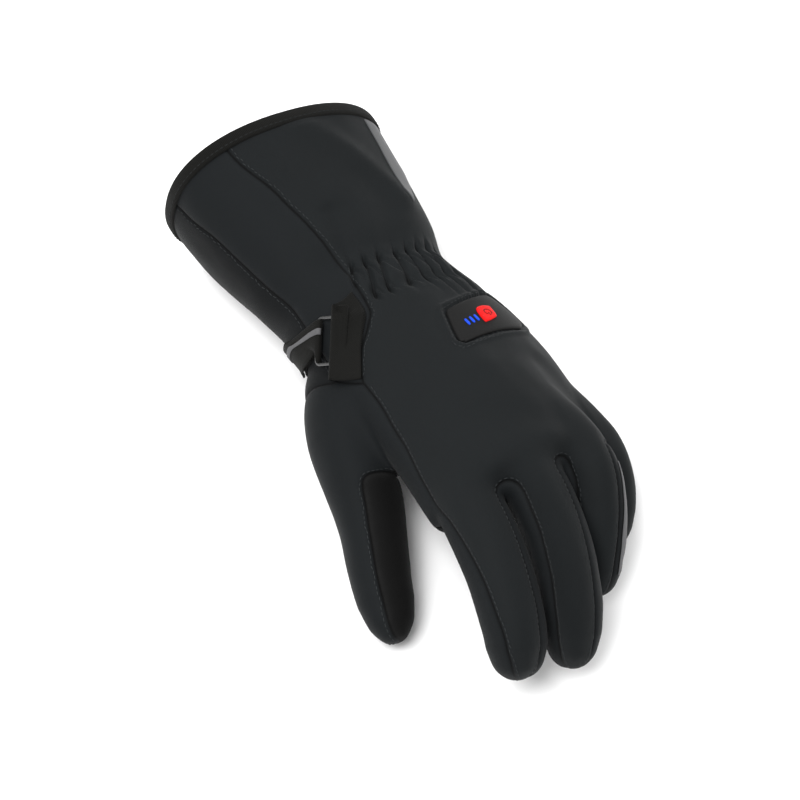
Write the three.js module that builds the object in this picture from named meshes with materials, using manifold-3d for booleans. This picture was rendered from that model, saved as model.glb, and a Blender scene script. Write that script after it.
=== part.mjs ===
// A heated winter glove for the left hand, lying palm down on a flat surface.
// Millimetres, +Z up, Z = 0 on the surface; the cuff points to +Y, the fingers to -Y and the thumb to -X.
import * as THREE from 'three';
import Module from 'manifold-3d';

const wasm = await Module();
wasm.setup();

// Sizes of the cuff and hand
const cuffLength = 97;
const cuffWidth = 124;
const cuffHeight = 87;
const wristWidth = 96;
const wristHeight = 62;
const palmLength = 146;
const palmWidth = 108;
const palmHeight = 56;
const knuckleRise = 22;
const knuckleHeight = 60;
const fingerReach = 72;
const fingerWidth = 31;
const fingerDepth = 32;
const thumbReach = 118;
const tipReach = 5;

// Sizes of the fabric and of what is sewn onto it
const wallThickness = 3.6;
const seamGap = 0.3;
const bindingWidth = 8;
const bindingThickness = 1.3;
const webbingWidth = 21;
const webbingThickness = 1.2;
const ringWire = 0.9;
const ringWidth = 10.6;
const padThickness = 1.8;
const buttonThickness = 0.9;
const lightThickness = 0.5;
const reflectorThickness = 0.4;
const gatherDepth = 1.5;

const bindingLift = bindingThickness + seamGap;
const bindingStart = cuffLength - bindingWidth;

// A row for each section: stretch 'cuff' runs from the wrist (0) to the hem (1), 'palm' from the wrist (0) to the slits (1).
// swell: share of the way from the wrist's size to the hem's or the palm's; sway and rise: the centre's shift in shares of
// palmWidth and knuckleRise; lean: degrees that the section is turned, thumb side up; arch: how far the little finger's
// side drops, in shares of palmHeight.
const BODY_SECTIONS = [
  { stretch: 'cuff', along: 1.0, swell: 1.0, sway: -0.03, rise: -0.14, lean: 12, arch: 0 },
  { stretch: 'cuff', along: 0.75, swell: 0.88, sway: -0.03, rise: -0.14, lean: 12, arch: 0 },
  { stretch: 'cuff', along: 0.5, swell: 0.66, sway: -0.02, rise: -0.08, lean: 12, arch: 0 },
  { stretch: 'cuff', along: 0.25, swell: 0.34, sway: -0.01, rise: 0.08, lean: 11, arch: 0 },
  { stretch: 'cuff', along: 0.0, swell: 0.0, sway: -0.01, rise: 0.23, lean: 10, arch: 0 },
  { stretch: 'palm', along: 0.16, swell: 0.55, sway: 0.03, rise: 0.36, lean: 9, arch: 0.04 },
  { stretch: 'palm', along: 0.4, swell: 1.0, sway: 0.07, rise: 0.65, lean: 7, arch: 0.16 },
  { stretch: 'palm', along: 0.65, swell: 1.0, sway: 0.09, rise: 0.9, lean: 5, arch: 0.36 },
  { stretch: 'palm', along: 0.94, swell: 0.97, sway: 0.08, rise: 0.97, lean: 4, arch: 0.55 },
];
// Where the body has its rings, in the same shares: positive on the cuff, negative on the palm
const BODY_RINGS = [1, 0.72, 0.48, 0.28, 0.12, 0.03, -0.045, -0.12, -0.2, -0.34, -0.52, -0.73, -0.94];
// Which of them the hollow has too
const HOLLOW_RINGS = [0, 1, 2, 3, 5, 7, 9, 10, 11, 12];
// The rounded front inside the finger roots: how far past the last ring, and what share of the size is left
const BODY_FRONT = [
  { past: 4, left: 0.88 },
  { past: 8, left: 0.68 },
  { past: 11, left: 0.36 },
];
// The elastic's gathers across the back of the wrist, in degrees round the ring and shares of the stretches
const GATHERS = { from: 42, to: 108, pleats: 7, shares: [0.05, -0.14], slant: 4 };
const GATHER_STEPS = 2;
const PLAIN_STEPS = 16;
const HOLLOW_STEPS = 14;

// Soft folds and dents: points in shares (along, positive on the cuff) and degrees round the ring; spread in mm
const FOLDS = [
  { height: 1.6, spread: 9, points: [[0.9, 86], [0.7, 71], [0.55, 64], [0.36, 50]] },
  { height: -1.4, spread: 8, points: [[0.36, 96], [0.2, 99], [0.08, 100]] },
  { height: -1.3, spread: 9, points: [[0.5, 66], [0.28, 68], [0.12, 74]] },
  { height: -1.2, spread: 10, points: [[-0.72, 118], [-0.8, 96], [-0.86, 78]] },
  { height: -1.6, spread: 7, points: [[-0.6, 50], [-0.8, 44], [-0.94, 40]] },
  { height: 1.2, spread: 9, points: [[-0.2, 88], [-0.42, 96], [-0.56, 92]] },
];

// A row for each point of a digit's centre line: across in shares of palmWidth, past the slits in shares of fingerReach
// (past the wrist in shares of thumbReach for the thumb), high in shares of knuckleHeight.
const DIGITS = {
  index: { girth: 1.0, points: [
    { across: -0.22, past: -0.6, high: 0.9 },
    { across: -0.265, past: 0.03, high: 0.98 },
    { across: -0.305, past: 0.42, high: 0.92 },
    { across: -0.365, past: 0.79, high: 0.74 },
    { across: -0.42, past: 1.0, high: 0.5 },
  ] },
  middle: { girth: 0.97, points: [
    { across: 0.06, past: -0.6, high: 1.0 },
    { across: 0.055, past: 0.03, high: 0.98 },
    { across: 0.02, past: 0.42, high: 0.84 },
    { across: -0.06, past: 0.79, high: 0.6 },
    { across: -0.15, past: 1.05, high: 0.33 },
  ] },
  ring: { girth: 0.9, points: [
    { across: 0.3, past: -0.6, high: 0.9 },
    { across: 0.34, past: 0.03, high: 0.85 },
    { across: 0.3, past: 0.25, high: 0.69 },
    { across: 0.235, past: 0.42, high: 0.5 },
    { across: 0.14, past: 0.62, high: 0.235 },
  ] },
  little: { girth: 0.82, points: [
    { across: 0.46, past: -0.7, high: 0.58 },
    { across: 0.515, past: -0.23, high: 0.44 },
    { across: 0.495, past: -0.05, high: 0.38 },
    { across: 0.455, past: 0.1, high: 0.28 },
    { across: 0.345, past: 0.32, high: 0.155 },
  ] },
  thumb: { girth: 1.0, points: [
    { across: -0.26, past: 0.2, high: 0.6 },
    { across: -0.44, past: 0.5, high: 0.56 },
    { across: -0.56, past: 0.88, high: 0.42 },
    { across: -0.68, past: 1.17, high: 0.3 },
    { across: -0.75, past: 1.38, high: 0.225 },
  ] },
};
const FINGER_NAMES = ['index', 'middle', 'ring', 'little'];

// Share of the full girth along a digit, which ends in a rounded tip
const FINGER_GIRTHS = [
  { along: 0.0, girth: 0.9 },
  { along: 0.2, girth: 1.0 },
  { along: 0.38, girth: 1.03 },
  { along: 0.54, girth: 1.02 },
  { along: 0.68, girth: 1.0 },
  { along: 0.8, girth: 0.97 },
  { along: 0.89, girth: 0.91 },
  { along: 0.96, girth: 0.72 },
  { along: 1.0, girth: 0.34 },
];
const THUMB_GIRTHS = [
  { along: 0.0, girth: 1.1 },
  { along: 0.15, girth: 1.3 },
  { along: 0.32, girth: 1.33 },
  { along: 0.5, girth: 1.2 },
  { along: 0.64, girth: 1.05 },
  { along: 0.78, girth: 0.98 },
  { along: 0.88, girth: 0.9 },
  { along: 0.95, girth: 0.72 },
  { along: 1.0, girth: 0.36 },
];
const DIGIT_SIDES = 12;
const HOLLOW_DIGIT_SIDES = 8;

// Seams of the body: degrees round the ring at a share along (positive on the cuff). back: from the little finger's side
// round to the thumb's side; side: the cuff's side panel; palm: from the thumb's side round to the little finger's side.
const BACK_SEAMS = [
  { along: 1.1, from: -8, to: 127 },
  { along: 0.83, from: -8, to: 124 },
  { along: 0.5, from: -8, to: 116.5 },
  { along: 0.28, from: -8, to: 112.5 },
  { along: 0.12, from: -8, to: 110.5 },
  { along: -0.03, from: -8, to: 109.5 },
  { along: -0.1, from: -8, to: 110.5 },
  { along: -0.17, from: -9, to: 113 },
  { along: -0.225, from: -10, to: 121.5 },
  { along: -0.316, from: -12, to: 136.5 },
  { along: -0.385, from: -14, to: 147 },
  { along: -0.5, from: -16, to: 147.5 },
  { along: -0.69, from: -20, to: 154 },
  { along: -0.87, from: -24, to: 160 },
  { along: -0.985, from: -24, to: 163 },
];
const SIDE_SEAMS = [
  { along: 1.1, from: 80, to: 175 },
  { along: 0.84, from: 80, to: 172.5 },
  { along: 0.54, from: 80, to: 164 },
  { along: 0.17, from: 80, to: 160 },
  { along: -0.04, from: 80, to: 156 },
  { along: -0.2, from: 80, to: 160 },
  { along: -0.5, from: 80, to: 168 },
];
const PALM_SEAMS = [
  { along: -0.1, from: 212, to: 365 },
  { along: -0.4, from: 214, to: 365 },
  { along: -0.6, from: 208, to: 360 },
  { along: -0.8, from: 200, to: 355 },
  { along: -0.985, from: 200, to: 350 },
  { along: -1.07, from: 200, to: 350 },
];
// Seams of the digits: degrees round the digit at its root and its tip
const DIGIT_BACKS = {
  index: { root: [35, 178], tip: [40, 108] },
  middle: { root: [45, 132], tip: [42, 128] },
  ring: { root: [45, 132], tip: [42, 132] },
  little: { root: [-20, 132], tip: [-20, 132] },
};
const DIGIT_PALMS = {
  index: { root: [212, 325], tip: [222, 322] },
  middle: { root: [216, 325], tip: [220, 322] },
  ring: { root: [216, 325], tip: [220, 322] },
  little: { root: [128, 356], tip: [128, 356] },
};
const THUMB_INNER = { start: 0.49, root: [-120, 92], tip: [-112, 104] };

// The wrist seam on the thumb's side, in shares of palmWidth (across) and palmLength (forward), and below it round the palm
const WRIST_SEAM = [
  { across: 0.9, forward: 0.62 },
  { across: -0.2, forward: 0.5 },
  { across: -0.34, forward: 0.402 },
  { across: -0.41, forward: 0.326 },
  { across: -0.52, forward: 0.25 },
  { across: -0.9, forward: 0.2 },
];
const wristSeamForward = 0.25;
const wristSeamHeight = 0.55;

// Outlines of the pieces on the body: share along (positive on the cuff) and degrees round the ring
const TAB_OUTLINE = [[-0.07, 113.5], [-0.165, 115], [-0.225, 123.5], [-0.3, 135.5], [-0.38, 147], [-0.345, 161],
  [-0.27, 150], [-0.2, 138.5], [-0.14, 128.5], [-0.095, 121]];
const RING_PLACE = [-0.155, 155];
const ringSlant = -42;
const STRAP_PATH = [
  { along: -0.118, round: 168 },
  { along: -0.1, round: 177 },
  { along: -0.088, round: 187 },
  { along: -0.078, round: 198 },
  { along: -0.07, round: 210 },
  { along: -0.066, round: 222 },
  { along: -0.064, round: 234 },
];
const strapEndRow = 3;
const STRIPE_SHARES = [-0.34, -0.22, -0.1];
const PAD_PLACE = [-0.343, 62];
const padLength = 47;
const padWidth = 31;
// Outlines on the pad's plane: across the hand in shares of padLength, forward in shares of padWidth
const PAD_OUTLINE = [[-0.4, -0.15], [-0.36, -0.27], [-0.28, -0.31], [0.26, -0.5], [0.36, -0.5], [0.42, -0.43],
  [0.53, -0.06], [0.54, 0.1], [0.48, 0.23], [0.3, 0.38], [-0.4, 0.5], [-0.46, 0.48], [-0.5, 0.36]];
const BUTTON_OUTLINE = [[-0.03, -0.11], [0.06, -0.18], [0.16, -0.17], [0.18, -0.13], [0.16, 0.07], [0.12, 0.13],
  [-0.02, 0.2], [-0.06, 0.17]];
const LIGHT_OUTLINE = [[-0.011, -0.06], [0.011, -0.065], [0.011, 0.06], [-0.011, 0.065]];
const LIGHT_PLACES = [[-0.26, 0.1], [-0.19, 0.08], [-0.12, 0.06]];
const CUFF_REFLECTOR = [[0.9, 45.5], [0.72, 45.5], [0.55, 47.5], [0.41, 49], [0.33, 45], [0.45, 35], [0.6, 26], [0.75, 20], [0.9, 17]];
const FINGER_REFLECTOR = [
  { along: 0.46, from: 22, to: 25 },
  { along: 0.56, from: 14, to: 28 },
  { along: 0.68, from: 9, to: 30 },
  { along: 0.8, from: 10, to: 30 },
  { along: 0.9, from: 20, to: 26 },
];

const radians = THREE.MathUtils.degToRad;
const lerp = THREE.MathUtils.lerp;
const clamp = THREE.MathUtils.clamp;
const vec = (x, y, z) => new THREE.Vector3(x, y, z);

// The value of a table's column at a place, with straight lines between rows
function columnAt(rows, place, key, value) {
  const up = rows[rows.length - 1][place] > rows[0][place];
  let i = 0;
  while (i < rows.length - 2 && (up ? value > rows[i + 1][place] : value < rows[i + 1][place])) i += 1;
  const t = clamp((value - rows[i][place]) / (rows[i + 1][place] - rows[i][place]), 0, 1);
  return lerp(rows[i][key], rows[i + 1][key], t);
}

// Shares along the two stretches as one number, positive on the cuff, and back
const forwardOf = (share) => share * (share > 0 ? cuffLength : palmLength);

// A closed solid from a grid of rings; each ring is a closed loop, the first and last are capped
function solidOfRings(rings, caps = null) {
  const sides = rings[0].length;
  const positions = rings.flat().flatMap((p) => [p.x, p.y, p.z]);
  const triangles = [];
  for (let i = 0; i + 1 < rings.length; i += 1) {
    for (let j = 0; j < sides; j += 1) {
      const a = i * sides + j;
      const b = i * sides + ((j + 1) % sides);
      triangles.push(a, b, b + sides, a, b + sides, a + sides);
    }
  }
  const last = (rings.length - 1) * sides;
  const fan = [];
  for (let j = 1; j + 1 < sides; j += 1) fan.push([0, j, j + 1]);
  for (const [a, b, c] of caps || fan) {
    triangles.push(a, c, b);
    triangles.push(last + a, last + b, last + c);
  }
  const build = (order) => new wasm.Manifold(new wasm.Mesh({
    numProp: 3,
    vertProperties: new Float32Array(positions),
    triVerts: new Uint32Array(order),
  }));
  const solid = build(triangles);
  return solid.volume() < 0 ? build(triangles.slice().reverse()) : solid;
}

// Triangles that fill a flat outline and use each of its points
function fill(flat) {
  const cross = (a, b, c) => (b.x - a.x) * (c.y - a.y) - (b.y - a.y) * (c.x - a.x);
  const whole = flat.reduce((sum, p, i) => sum + cross(flat[0], p, flat[(i + 1) % flat.length]), 0);
  const turn = Math.sign(whole);
  const left = flat.map((_, i) => i);
  const triangles = [];
  while (left.length > 3) {
    let best = null;
    for (let i = 0; i < left.length; i += 1) {
      const [a, b, c] = [-1, 0, 1].map((k) => left[(i + k + left.length) % left.length]);
      const size = turn * cross(flat[a], flat[b], flat[c]);
      const inside = (p) => [[a, b], [b, c], [c, a]].every(([m, n]) => turn * cross(flat[m], flat[n], flat[p]) > 1e-9);
      const clear = left.every((p) => p === a || p === b || p === c || !inside(p));
      if (size > 1e-7 && clear && (!best || size < best.size)) best = { i, size, corners: [a, b, c] };
    }
    if (!best) break;
    triangles.push(best.corners);
    left.splice(best.i, 1);
  }
  triangles.push(left.slice(0, 3));
  return triangles;
}

// A prism from a flat outline, between two shifts along a direction
function prism(outline, direction, below, above) {
  const n = direction.clone().normalize();
  const u = vec(0, 1, 0).cross(n).normalize();
  const v = n.clone().cross(u);
  const flat = outline.map((p) => new THREE.Vector2(p.dot(u), p.dot(v)));
  const caps = fill(flat);
  const shifted = (by) => outline.map((p) => p.clone().addScaledVector(n, by));
  return solidOfRings([shifted(below), shifted(above)], caps);
}

// Degrees round the body's ring: close together at the gathers
function bodyAngles(smooth) {
  const { from, to, pleats } = GATHERS;
  const angles = [];
  if (smooth) return Array.from({ length: HOLLOW_STEPS }, (_, i) => (360 * i) / HOLLOW_STEPS);
  const fine = pleats * GATHER_STEPS;
  for (let i = 0; i < fine; i += 1) angles.push(lerp(from, to, i / fine));
  for (let i = 0; i < PLAIN_STEPS; i += 1) angles.push(lerp(to, from + 360, i / PLAIN_STEPS));
  return angles;
}

function sectionAt(y) {
  const share = y > 0 ? y / cuffLength : y / palmLength;
  const rows = BODY_SECTIONS.map((row) => ({ ...row, at: row.stretch === 'cuff' ? row.along : -row.along }));
  const value = (key) => {
    let i = 0;
    while (i < rows.length - 2 && share < rows[i + 1].at) i += 1;
    const t = clamp((share - rows[i].at) / (rows[i + 1].at - rows[i].at), 0, 1);
    const p = (j) => rows[clamp(j, 0, rows.length - 1)][key];
    const [a, b, c, d] = [p(i - 1), p(i), p(i + 1), p(i + 2)];
    return b + 0.5 * t * (c - a + t * (2 * a - 5 * b + 4 * c - d + t * (3 * (b - c) + d - a)));
  };
  const swell = value('swell');
  const halfWidth = lerp(wristWidth, y > 0 ? cuffWidth : palmWidth, swell) / 2;
  const halfHeight = lerp(wristHeight, y > 0 ? cuffHeight : palmHeight, swell) / 2;
  return {
    halfWidth, halfHeight,
    lean: radians(value('lean')),
    arch: value('arch') * palmHeight,
    x: value('sway') * palmWidth,
    z: halfHeight + value('rise') * knuckleRise,
  };
}

// How far folds and gathers move the surface out
function relief(y, degrees, section) {
  const around = ((degrees + 540) % 360) - 180;
  const reach = (section.halfWidth + section.halfHeight) / 2;
  let out = 0;
  for (const fold of FOLDS) {
    let nearest = Infinity;
    for (let i = 0; i + 1 < fold.points.length; i += 1) {
      const [a, b] = [fold.points[i], fold.points[i + 1]].map(([share, angle]) => [forwardOf(share), radians(angle) * reach]);
      const p = [y, radians(around) * reach];
      const run = [b[0] - a[0], b[1] - a[1]];
      const t = clamp(((p[0] - a[0]) * run[0] + (p[1] - a[1]) * run[1]) / (run[0] ** 2 + run[1] ** 2), 0, 1);
      nearest = Math.min(nearest, Math.hypot(p[0] - a[0] - run[0] * t, p[1] - a[1] - run[1] * t));
    }
    out += fold.height * Math.exp(-((nearest / fold.spread) ** 2));
  }
  const [high, low] = GATHERS.shares.map(forwardOf);
  const middle = (high + low) / 2;
  const across = clamp(1.25 - Math.abs(y - middle) / ((high - low) / 2), 0, 1);
  const inside = clamp(Math.min(around - GATHERS.from, GATHERS.to - around) / 6, 0, 1);
  const phase = (around - GATHERS.from) / (GATHERS.to - GATHERS.from) * GATHERS.pleats;
  const wave = Math.cos(2 * Math.PI * phase) * 0.5 - 0.5;
  return out + gatherDepth * across * inside * wave;
}

// Under the binding the cuff's underside rises, so that the binding lies on the floor
const binding = (y) => clamp((y - bindingStart) / 2 + 1, 0, 1) * bindingLift;

// A point of the body's surface, moved out by offset and kept above the floor
function bodyPoint(y, degrees, offset = 0, left = 1) {
  const section = sectionAt(y);
  const angle = radians(degrees);
  const c = Math.cos(angle);
  const s = Math.sin(angle);
  const round = 2 / 2.25;
  const out = offset + relief(y, degrees, section);
  const u = Math.sign(c) * Math.abs(c) ** round * (section.halfWidth * left + out);
  const v = Math.sign(s) * Math.abs(s) ** round * (section.halfHeight * left + out);
  const side = Math.max(0, u / section.halfWidth);
  const x = section.x + u * Math.cos(section.lean) + v * Math.sin(section.lean);
  const z = section.z - u * Math.sin(section.lean) + v * Math.cos(section.lean) - section.arch * side ** 2;
  return vec(x, y, Math.max(z, binding(y) - offset));
}

function bodyNormal(y, degrees) {
  const a = bodyPoint(y, degrees + 4).sub(bodyPoint(y, degrees - 4));
  const b = bodyPoint(y + 4, degrees).sub(bodyPoint(y - 4, degrees));
  const n = a.cross(b).normalize();
  const out = bodyPoint(y, degrees, 5).sub(bodyPoint(y, degrees));
  return n.dot(out) < 0 ? n.negate() : n;
}

function bodySolid(offset, hemExtra = 0, smooth = false) {
  const angles = bodyAngles(smooth);
  const shares = BODY_RINGS.filter((share, i) => !smooth || HOLLOW_RINGS.includes(i));
  const rings = shares.map((share) => angles.map((a) => bodyPoint(forwardOf(share), a, offset)));
  if (hemExtra) {
    rings[0] = angles.map((a) => bodyPoint(cuffLength, a, offset));
    rings.unshift(rings[0].map((p) => vec(p.x, cuffLength + hemExtra, p.z)));
  }
  rings.splice(hemExtra ? 2 : 1, 0, angles.map((a) => bodyPoint(bindingStart, a, offset)));
  rings.splice(hemExtra ? 3 : 2, 0, angles.map((a) => bodyPoint(bindingStart - 2, a, offset)));
  const end = forwardOf(BODY_RINGS[BODY_RINGS.length - 1]);
  for (const row of BODY_FRONT) {
    rings.push(angles.map((a) => bodyPoint(end, a, offset, row.left).setY(end - row.past - offset * (1 - row.left))));
  }
  return solidOfRings(rings);
}

function digitPath(name) {
  const points = DIGITS[name].points.map((p) => vec(
    p.across * palmWidth,
    name === 'thumb' ? -p.past * thumbReach : -palmLength - p.past * fingerReach,
    p.high * knuckleHeight,
  ));
  return new THREE.CatmullRomCurve3(points, false, 'centripetal');
}

// A digit's frame at a share along it: centre, side (towards the little finger), up (its back) and half sizes
function digitFrame(name, along, offset = 0) {
  const path = digitPath(name);
  const at = path.getPointAt(along);
  const forward = path.getTangentAt(along);
  const { girth } = DIGITS[name];
  const share = columnAt(name === 'thumb' ? THUMB_GIRTHS : FINGER_GIRTHS, 'along', 'girth', along);
  if (along > 0.85) at.addScaledVector(forward, ((along - 0.85) / 0.15) * (tipReach * girth + offset));
  const side = vec(-forward.y, forward.x, 0).normalize();
  if (side.x < 0) side.negate();
  const up = forward.clone().cross(side).normalize();
  if (up.z < 0) up.negate();
  return {
    at, side, up,
    halfWidth: ((fingerWidth / 2) * girth + offset) * share,
    halfDepth: ((fingerDepth / 2) * girth + offset) * share,
  };
}

function digitPoint(frame, degrees, offset = 0, scale = 1) {
  const angle = radians(degrees);
  const p = frame.at.clone()
    .addScaledVector(frame.side, Math.cos(angle) * frame.halfWidth * scale)
    .addScaledVector(frame.up, Math.sin(angle) * frame.halfDepth * scale);
  if (scale === 1) p.z = Math.max(p.z, -offset);
  return p;
}

function digitSolid(name, offset, smooth = false) {
  const rows = (name === 'thumb' ? THUMB_GIRTHS : FINGER_GIRTHS).filter((row, i) => !smooth || i % 2 === 0);
  const sides = smooth ? HOLLOW_DIGIT_SIDES : DIGIT_SIDES;
  return solidOfRings(rows.map(({ along }) => {
    const frame = digitFrame(name, along, offset);
    return Array.from({ length: sides }, (_, j) => digitPoint(frame, (360 * j) / sides, offset));
  }));
}

const joined = (solids) => solids.reduce((all, s) => all.add(s));

function formSolid(offset, hemExtra = 0, smooth = false) {
  const digits = Object.keys(DIGITS).map((name) => digitSolid(name, offset, smooth));
  return joined([bodySolid(offset, hemExtra, smooth), ...digits]);
}

// A slice of the body between two seams, from inside the hollow to outside the surface; spread widens it
function bodySlice(seams, spread, scaleIn = 0.3, scaleOut = 1.35) {
  const steps = 4;
  const rings = seams.map((row) => {
    const y = forwardOf(row.along);
    const section = sectionAt(y);
    const reach = Math.min(section.halfWidth, section.halfHeight) * 1.15;
    const wide = THREE.MathUtils.radToDeg(spread / reach);
    const corner = (degrees, scale) => {
      const angle = radians(degrees);
      const u = Math.cos(angle) * section.halfWidth * scale;
      const v = Math.sin(angle) * section.halfHeight * scale;
      const side = Math.max(0, u / section.halfWidth);
      return vec(
        section.x + u * Math.cos(section.lean) + v * Math.sin(section.lean),
        y,
        section.z - u * Math.sin(section.lean) + v * Math.cos(section.lean) - section.arch * Math.min(side, 1) ** 2,
      );
    };
    const ring = [];
    const at = (i, more) => lerp(row.from, row.to, i / steps) + (i === steps ? more : 0) - (i === 0 ? more : 0);
    for (let i = 0; i <= steps; i += 1) ring.push(corner(at(i, wide / scaleIn), scaleIn - (spread ? 0.02 : 0)));
    for (let i = steps; i >= 0; i -= 1) ring.push(corner(at(i, wide), scaleOut + (spread ? 0.02 : 0)));
    return ring;
  });
  if (spread) {
    const last = rings[rings.length - 1];
    last.forEach((p) => p.setY(p.y - spread));
  }
  const caps = [];
  const n = 2 * steps + 2;
  for (let i = 0; i < steps; i += 1) caps.push([i, i + 1, n - 1 - i], [i + 1, n - 2 - i, n - 1 - i]);
  return solidOfRings(rings, caps);
}

// The same for a digit, along rows of degrees round it; past the tip it runs on by ahead
function digitSlice(name, rows, spread = 0, ahead = 0) {
  const steps = 4;
  const rings = rows.map((row, k) => {
    const frame = digitFrame(name, row.along);
    const full = digitFrame(name, Math.min(row.along, 0.85));
    frame.halfWidth = full.halfWidth;
    frame.halfDepth = full.halfDepth;
    const wide = THREE.MathUtils.radToDeg(spread / Math.max(frame.halfWidth, 6));
    const at = (i, more) => lerp(row.from, row.to, i / steps) + (i === steps ? more : 0) - (i === 0 ? more : 0);
    const deeper = spread ? 0.02 : 0;
    const ring = [];
    for (let i = 0; i <= steps; i += 1) ring.push(digitPoint(frame, at(i, wide / 0.25), 0, 0.25 - deeper));
    for (let i = steps; i >= 0; i -= 1) ring.push(digitPoint(frame, at(i, wide), 0, 1.2 + deeper));
    if (k === 0) ring.forEach((p) => p.setY(p.y + spread));
    return ring;
  });
  if (ahead) {
    const forward = digitPath(name).getTangentAt(1);
    rings.push(rings[rings.length - 1].map((p) => p.clone().addScaledVector(forward, ahead * DIGITS[name].girth)));
  }
  const caps = [];
  const n = 2 * steps + 2;
  for (let i = 0; i < steps; i += 1) caps.push([i, i + 1, n - 1 - i], [i + 1, n - 2 - i, n - 1 - i]);
  return solidOfRings(rings, caps);
}

// The slice between two seams that run from a digit's root, or from start, to its tip
function seamSlice(name, seam, spread) {
  const start = seam.start || 0.06;
  const rows = Array.from({ length: 7 }, (_, k) => {
    const along = lerp(start, 1, k / 6);
    return { along, from: lerp(seam.root[0], seam.tip[0], along), to: lerp(seam.root[1], seam.tip[1], along) };
  });
  return digitSlice(name, rows, spread, tipReach + 6).intersect(digitSolid(name, seamGap / 2));
}

// The very tip of a digit, which belongs to its palm side
function tipPlug(name, spread) {
  const ahead = digitPath(name).getTangentAt(1);
  const frame = digitFrame(name, 0.9);
  const radius = frame.halfWidth * 0.3 + spread;
  const outline = Array.from({ length: 8 }, (_, j) => {
    const angle = (2 * Math.PI * j) / 8;
    return frame.at.clone().addScaledVector(frame.side, Math.cos(angle) * radius).addScaledVector(frame.up, Math.sin(angle) * radius);
  });
  return prism(outline, ahead, 0, 3 * radius + tipReach + 20);
}

function backRegion(spread) {
  return joined([bodySlice(BACK_SEAMS, spread),
    ...FINGER_NAMES.map((name) => seamSlice(name, DIGIT_BACKS[name], spread))]);
}

function palmRegion(spread) {
  return joined([bodySlice(PALM_SEAMS, spread, 0.16),
    ...FINGER_NAMES.map((name) => seamSlice(name, DIGIT_PALMS[name], spread)),
    ...FINGER_NAMES.map((name) => tipPlug(name, spread))]);
}

// The hand's side of the wrist seam
function handRegion(spread) {
  const seamHeight = wristSeamHeight * knuckleHeight;
  const high = WRIST_SEAM.map((p) => vec(p.across * palmWidth, -p.forward * palmLength + spread, seamHeight));
  const far = -palmLength - 2 * fingerReach;
  high.push(vec(-2 * palmWidth, high[high.length - 1].y, seamHeight), vec(-2 * palmWidth, far, seamHeight), vec(2 * palmWidth, far, seamHeight));
  high.push(vec(2 * palmWidth, high[0].y, seamHeight));
  const y = -wristSeamForward * palmLength + spread;
  const low = [vec(2 * palmWidth, y, 0), vec(-2 * palmWidth, y, 0), vec(-2 * palmWidth, far, 0), vec(2 * palmWidth, far, 0)];
  return prism(high, vec(0, 0, 1), 0, 200).add(prism(low, vec(0, 0, 1), -50, seamHeight));
}

// The layer of space between two heights above the body and the thumb
function layer(from, to, names = ['thumb']) {
  const form = (offset) => joined([bodySolid(offset), ...names.map((name) => digitSolid(name, offset))]);
  return form(to).subtract(form(from));
}

// A piece that lies on the body within an outline of shares along and degrees round
function patch(outline, from, to) {
  const points = outline.map(([share, degrees]) => bodyPoint(forwardOf(share), degrees));
  const middle = outline.reduce((sum, [share, degrees]) => [sum[0] + share / outline.length, sum[1] + degrees / outline.length], [0, 0]);
  const normal = bodyNormal(forwardOf(middle[0]), middle[1]);
  return prism(points, normal, -14, 14).intersect(layer(from, to));
}

// A flat frame on the body: its origin on the surface, out along the normal, and two directions turned by slant
function placeOn([share, degrees], slant = 0) {
  const y = forwardOf(share);
  const origin = bodyPoint(y, degrees);
  const out = bodyNormal(y, degrees);
  const forward = vec(0, -1, 0).addScaledVector(out, out.y).normalize();
  const across = out.clone().cross(forward).normalize();
  const turn = radians(slant);
  return {
    origin, out,
    along: forward.clone().multiplyScalar(Math.cos(turn)).addScaledVector(across, Math.sin(turn)),
    across: across.clone().multiplyScalar(Math.cos(turn)).addScaledVector(forward, -Math.sin(turn)),
    point(a, f, h) {
      return this.origin.clone().addScaledVector(this.across, a).addScaledVector(this.along, f).addScaledVector(this.out, h);
    },
  };
}

function padPiece(outline, place, from, to) {
  const frame = placeOn(PAD_PLACE);
  const points = outline.map(([a, f]) => frame.point((place[0] + a) * padLength, (place[1] + f) * padWidth, 0));
  return prism(points, frame.out, -20, 20).intersect(layer(from, to, []));
}

function meshOf(solid, name, colour, look = {}) {
  const data = solid.getMesh();
  const geometry = new THREE.BufferGeometry();
  const count = data.vertProperties.length / data.numProp;
  const positions = new Float32Array(count * 3);
  for (let i = 0; i < count; i += 1) {
    for (let k = 0; k < 3; k += 1) positions[i * 3 + k] = data.vertProperties[i * data.numProp + k];
  }
  geometry.setAttribute('position', new THREE.BufferAttribute(positions, 3));
  geometry.setIndex(new THREE.BufferAttribute(new Uint32Array(data.triVerts), 1));
  const mesh = new THREE.Mesh(geometry, new THREE.MeshStandardMaterial({ color: colour, roughness: 0.85, ...look }));
  mesh.name = name;
  return mesh;
}

const largest = (solid) => solid.decompose().sort((a, b) => b.volume() - a.volume())[0];

// The shell and its panels
const outer = formSolid(0);
const hollow = formSolid(-wallThickness, 4, true);
const shell = outer.subtract(hollow);

const backPanel = shell.intersect(backRegion(0));
const withoutBack = shell.subtract(backRegion(seamGap)).subtract(backPanel);
const cuffPart = withoutBack.subtract(handRegion(seamGap));
const cuffSide = cuffPart.intersect(bodySlice(SIDE_SEAMS, 0));
const cuffUnder = cuffPart.subtract(bodySlice(SIDE_SEAMS, seamGap));
const handPart = withoutBack.intersect(handRegion(0));
const thumbInner = handPart.intersect(seamSlice('thumb', THUMB_INNER, 0));
const handRest = handPart.subtract(seamSlice('thumb', THUMB_INNER, seamGap)).subtract(thumbInner);
const palm = largest(handRest.intersect(palmRegion(0)));
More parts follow.
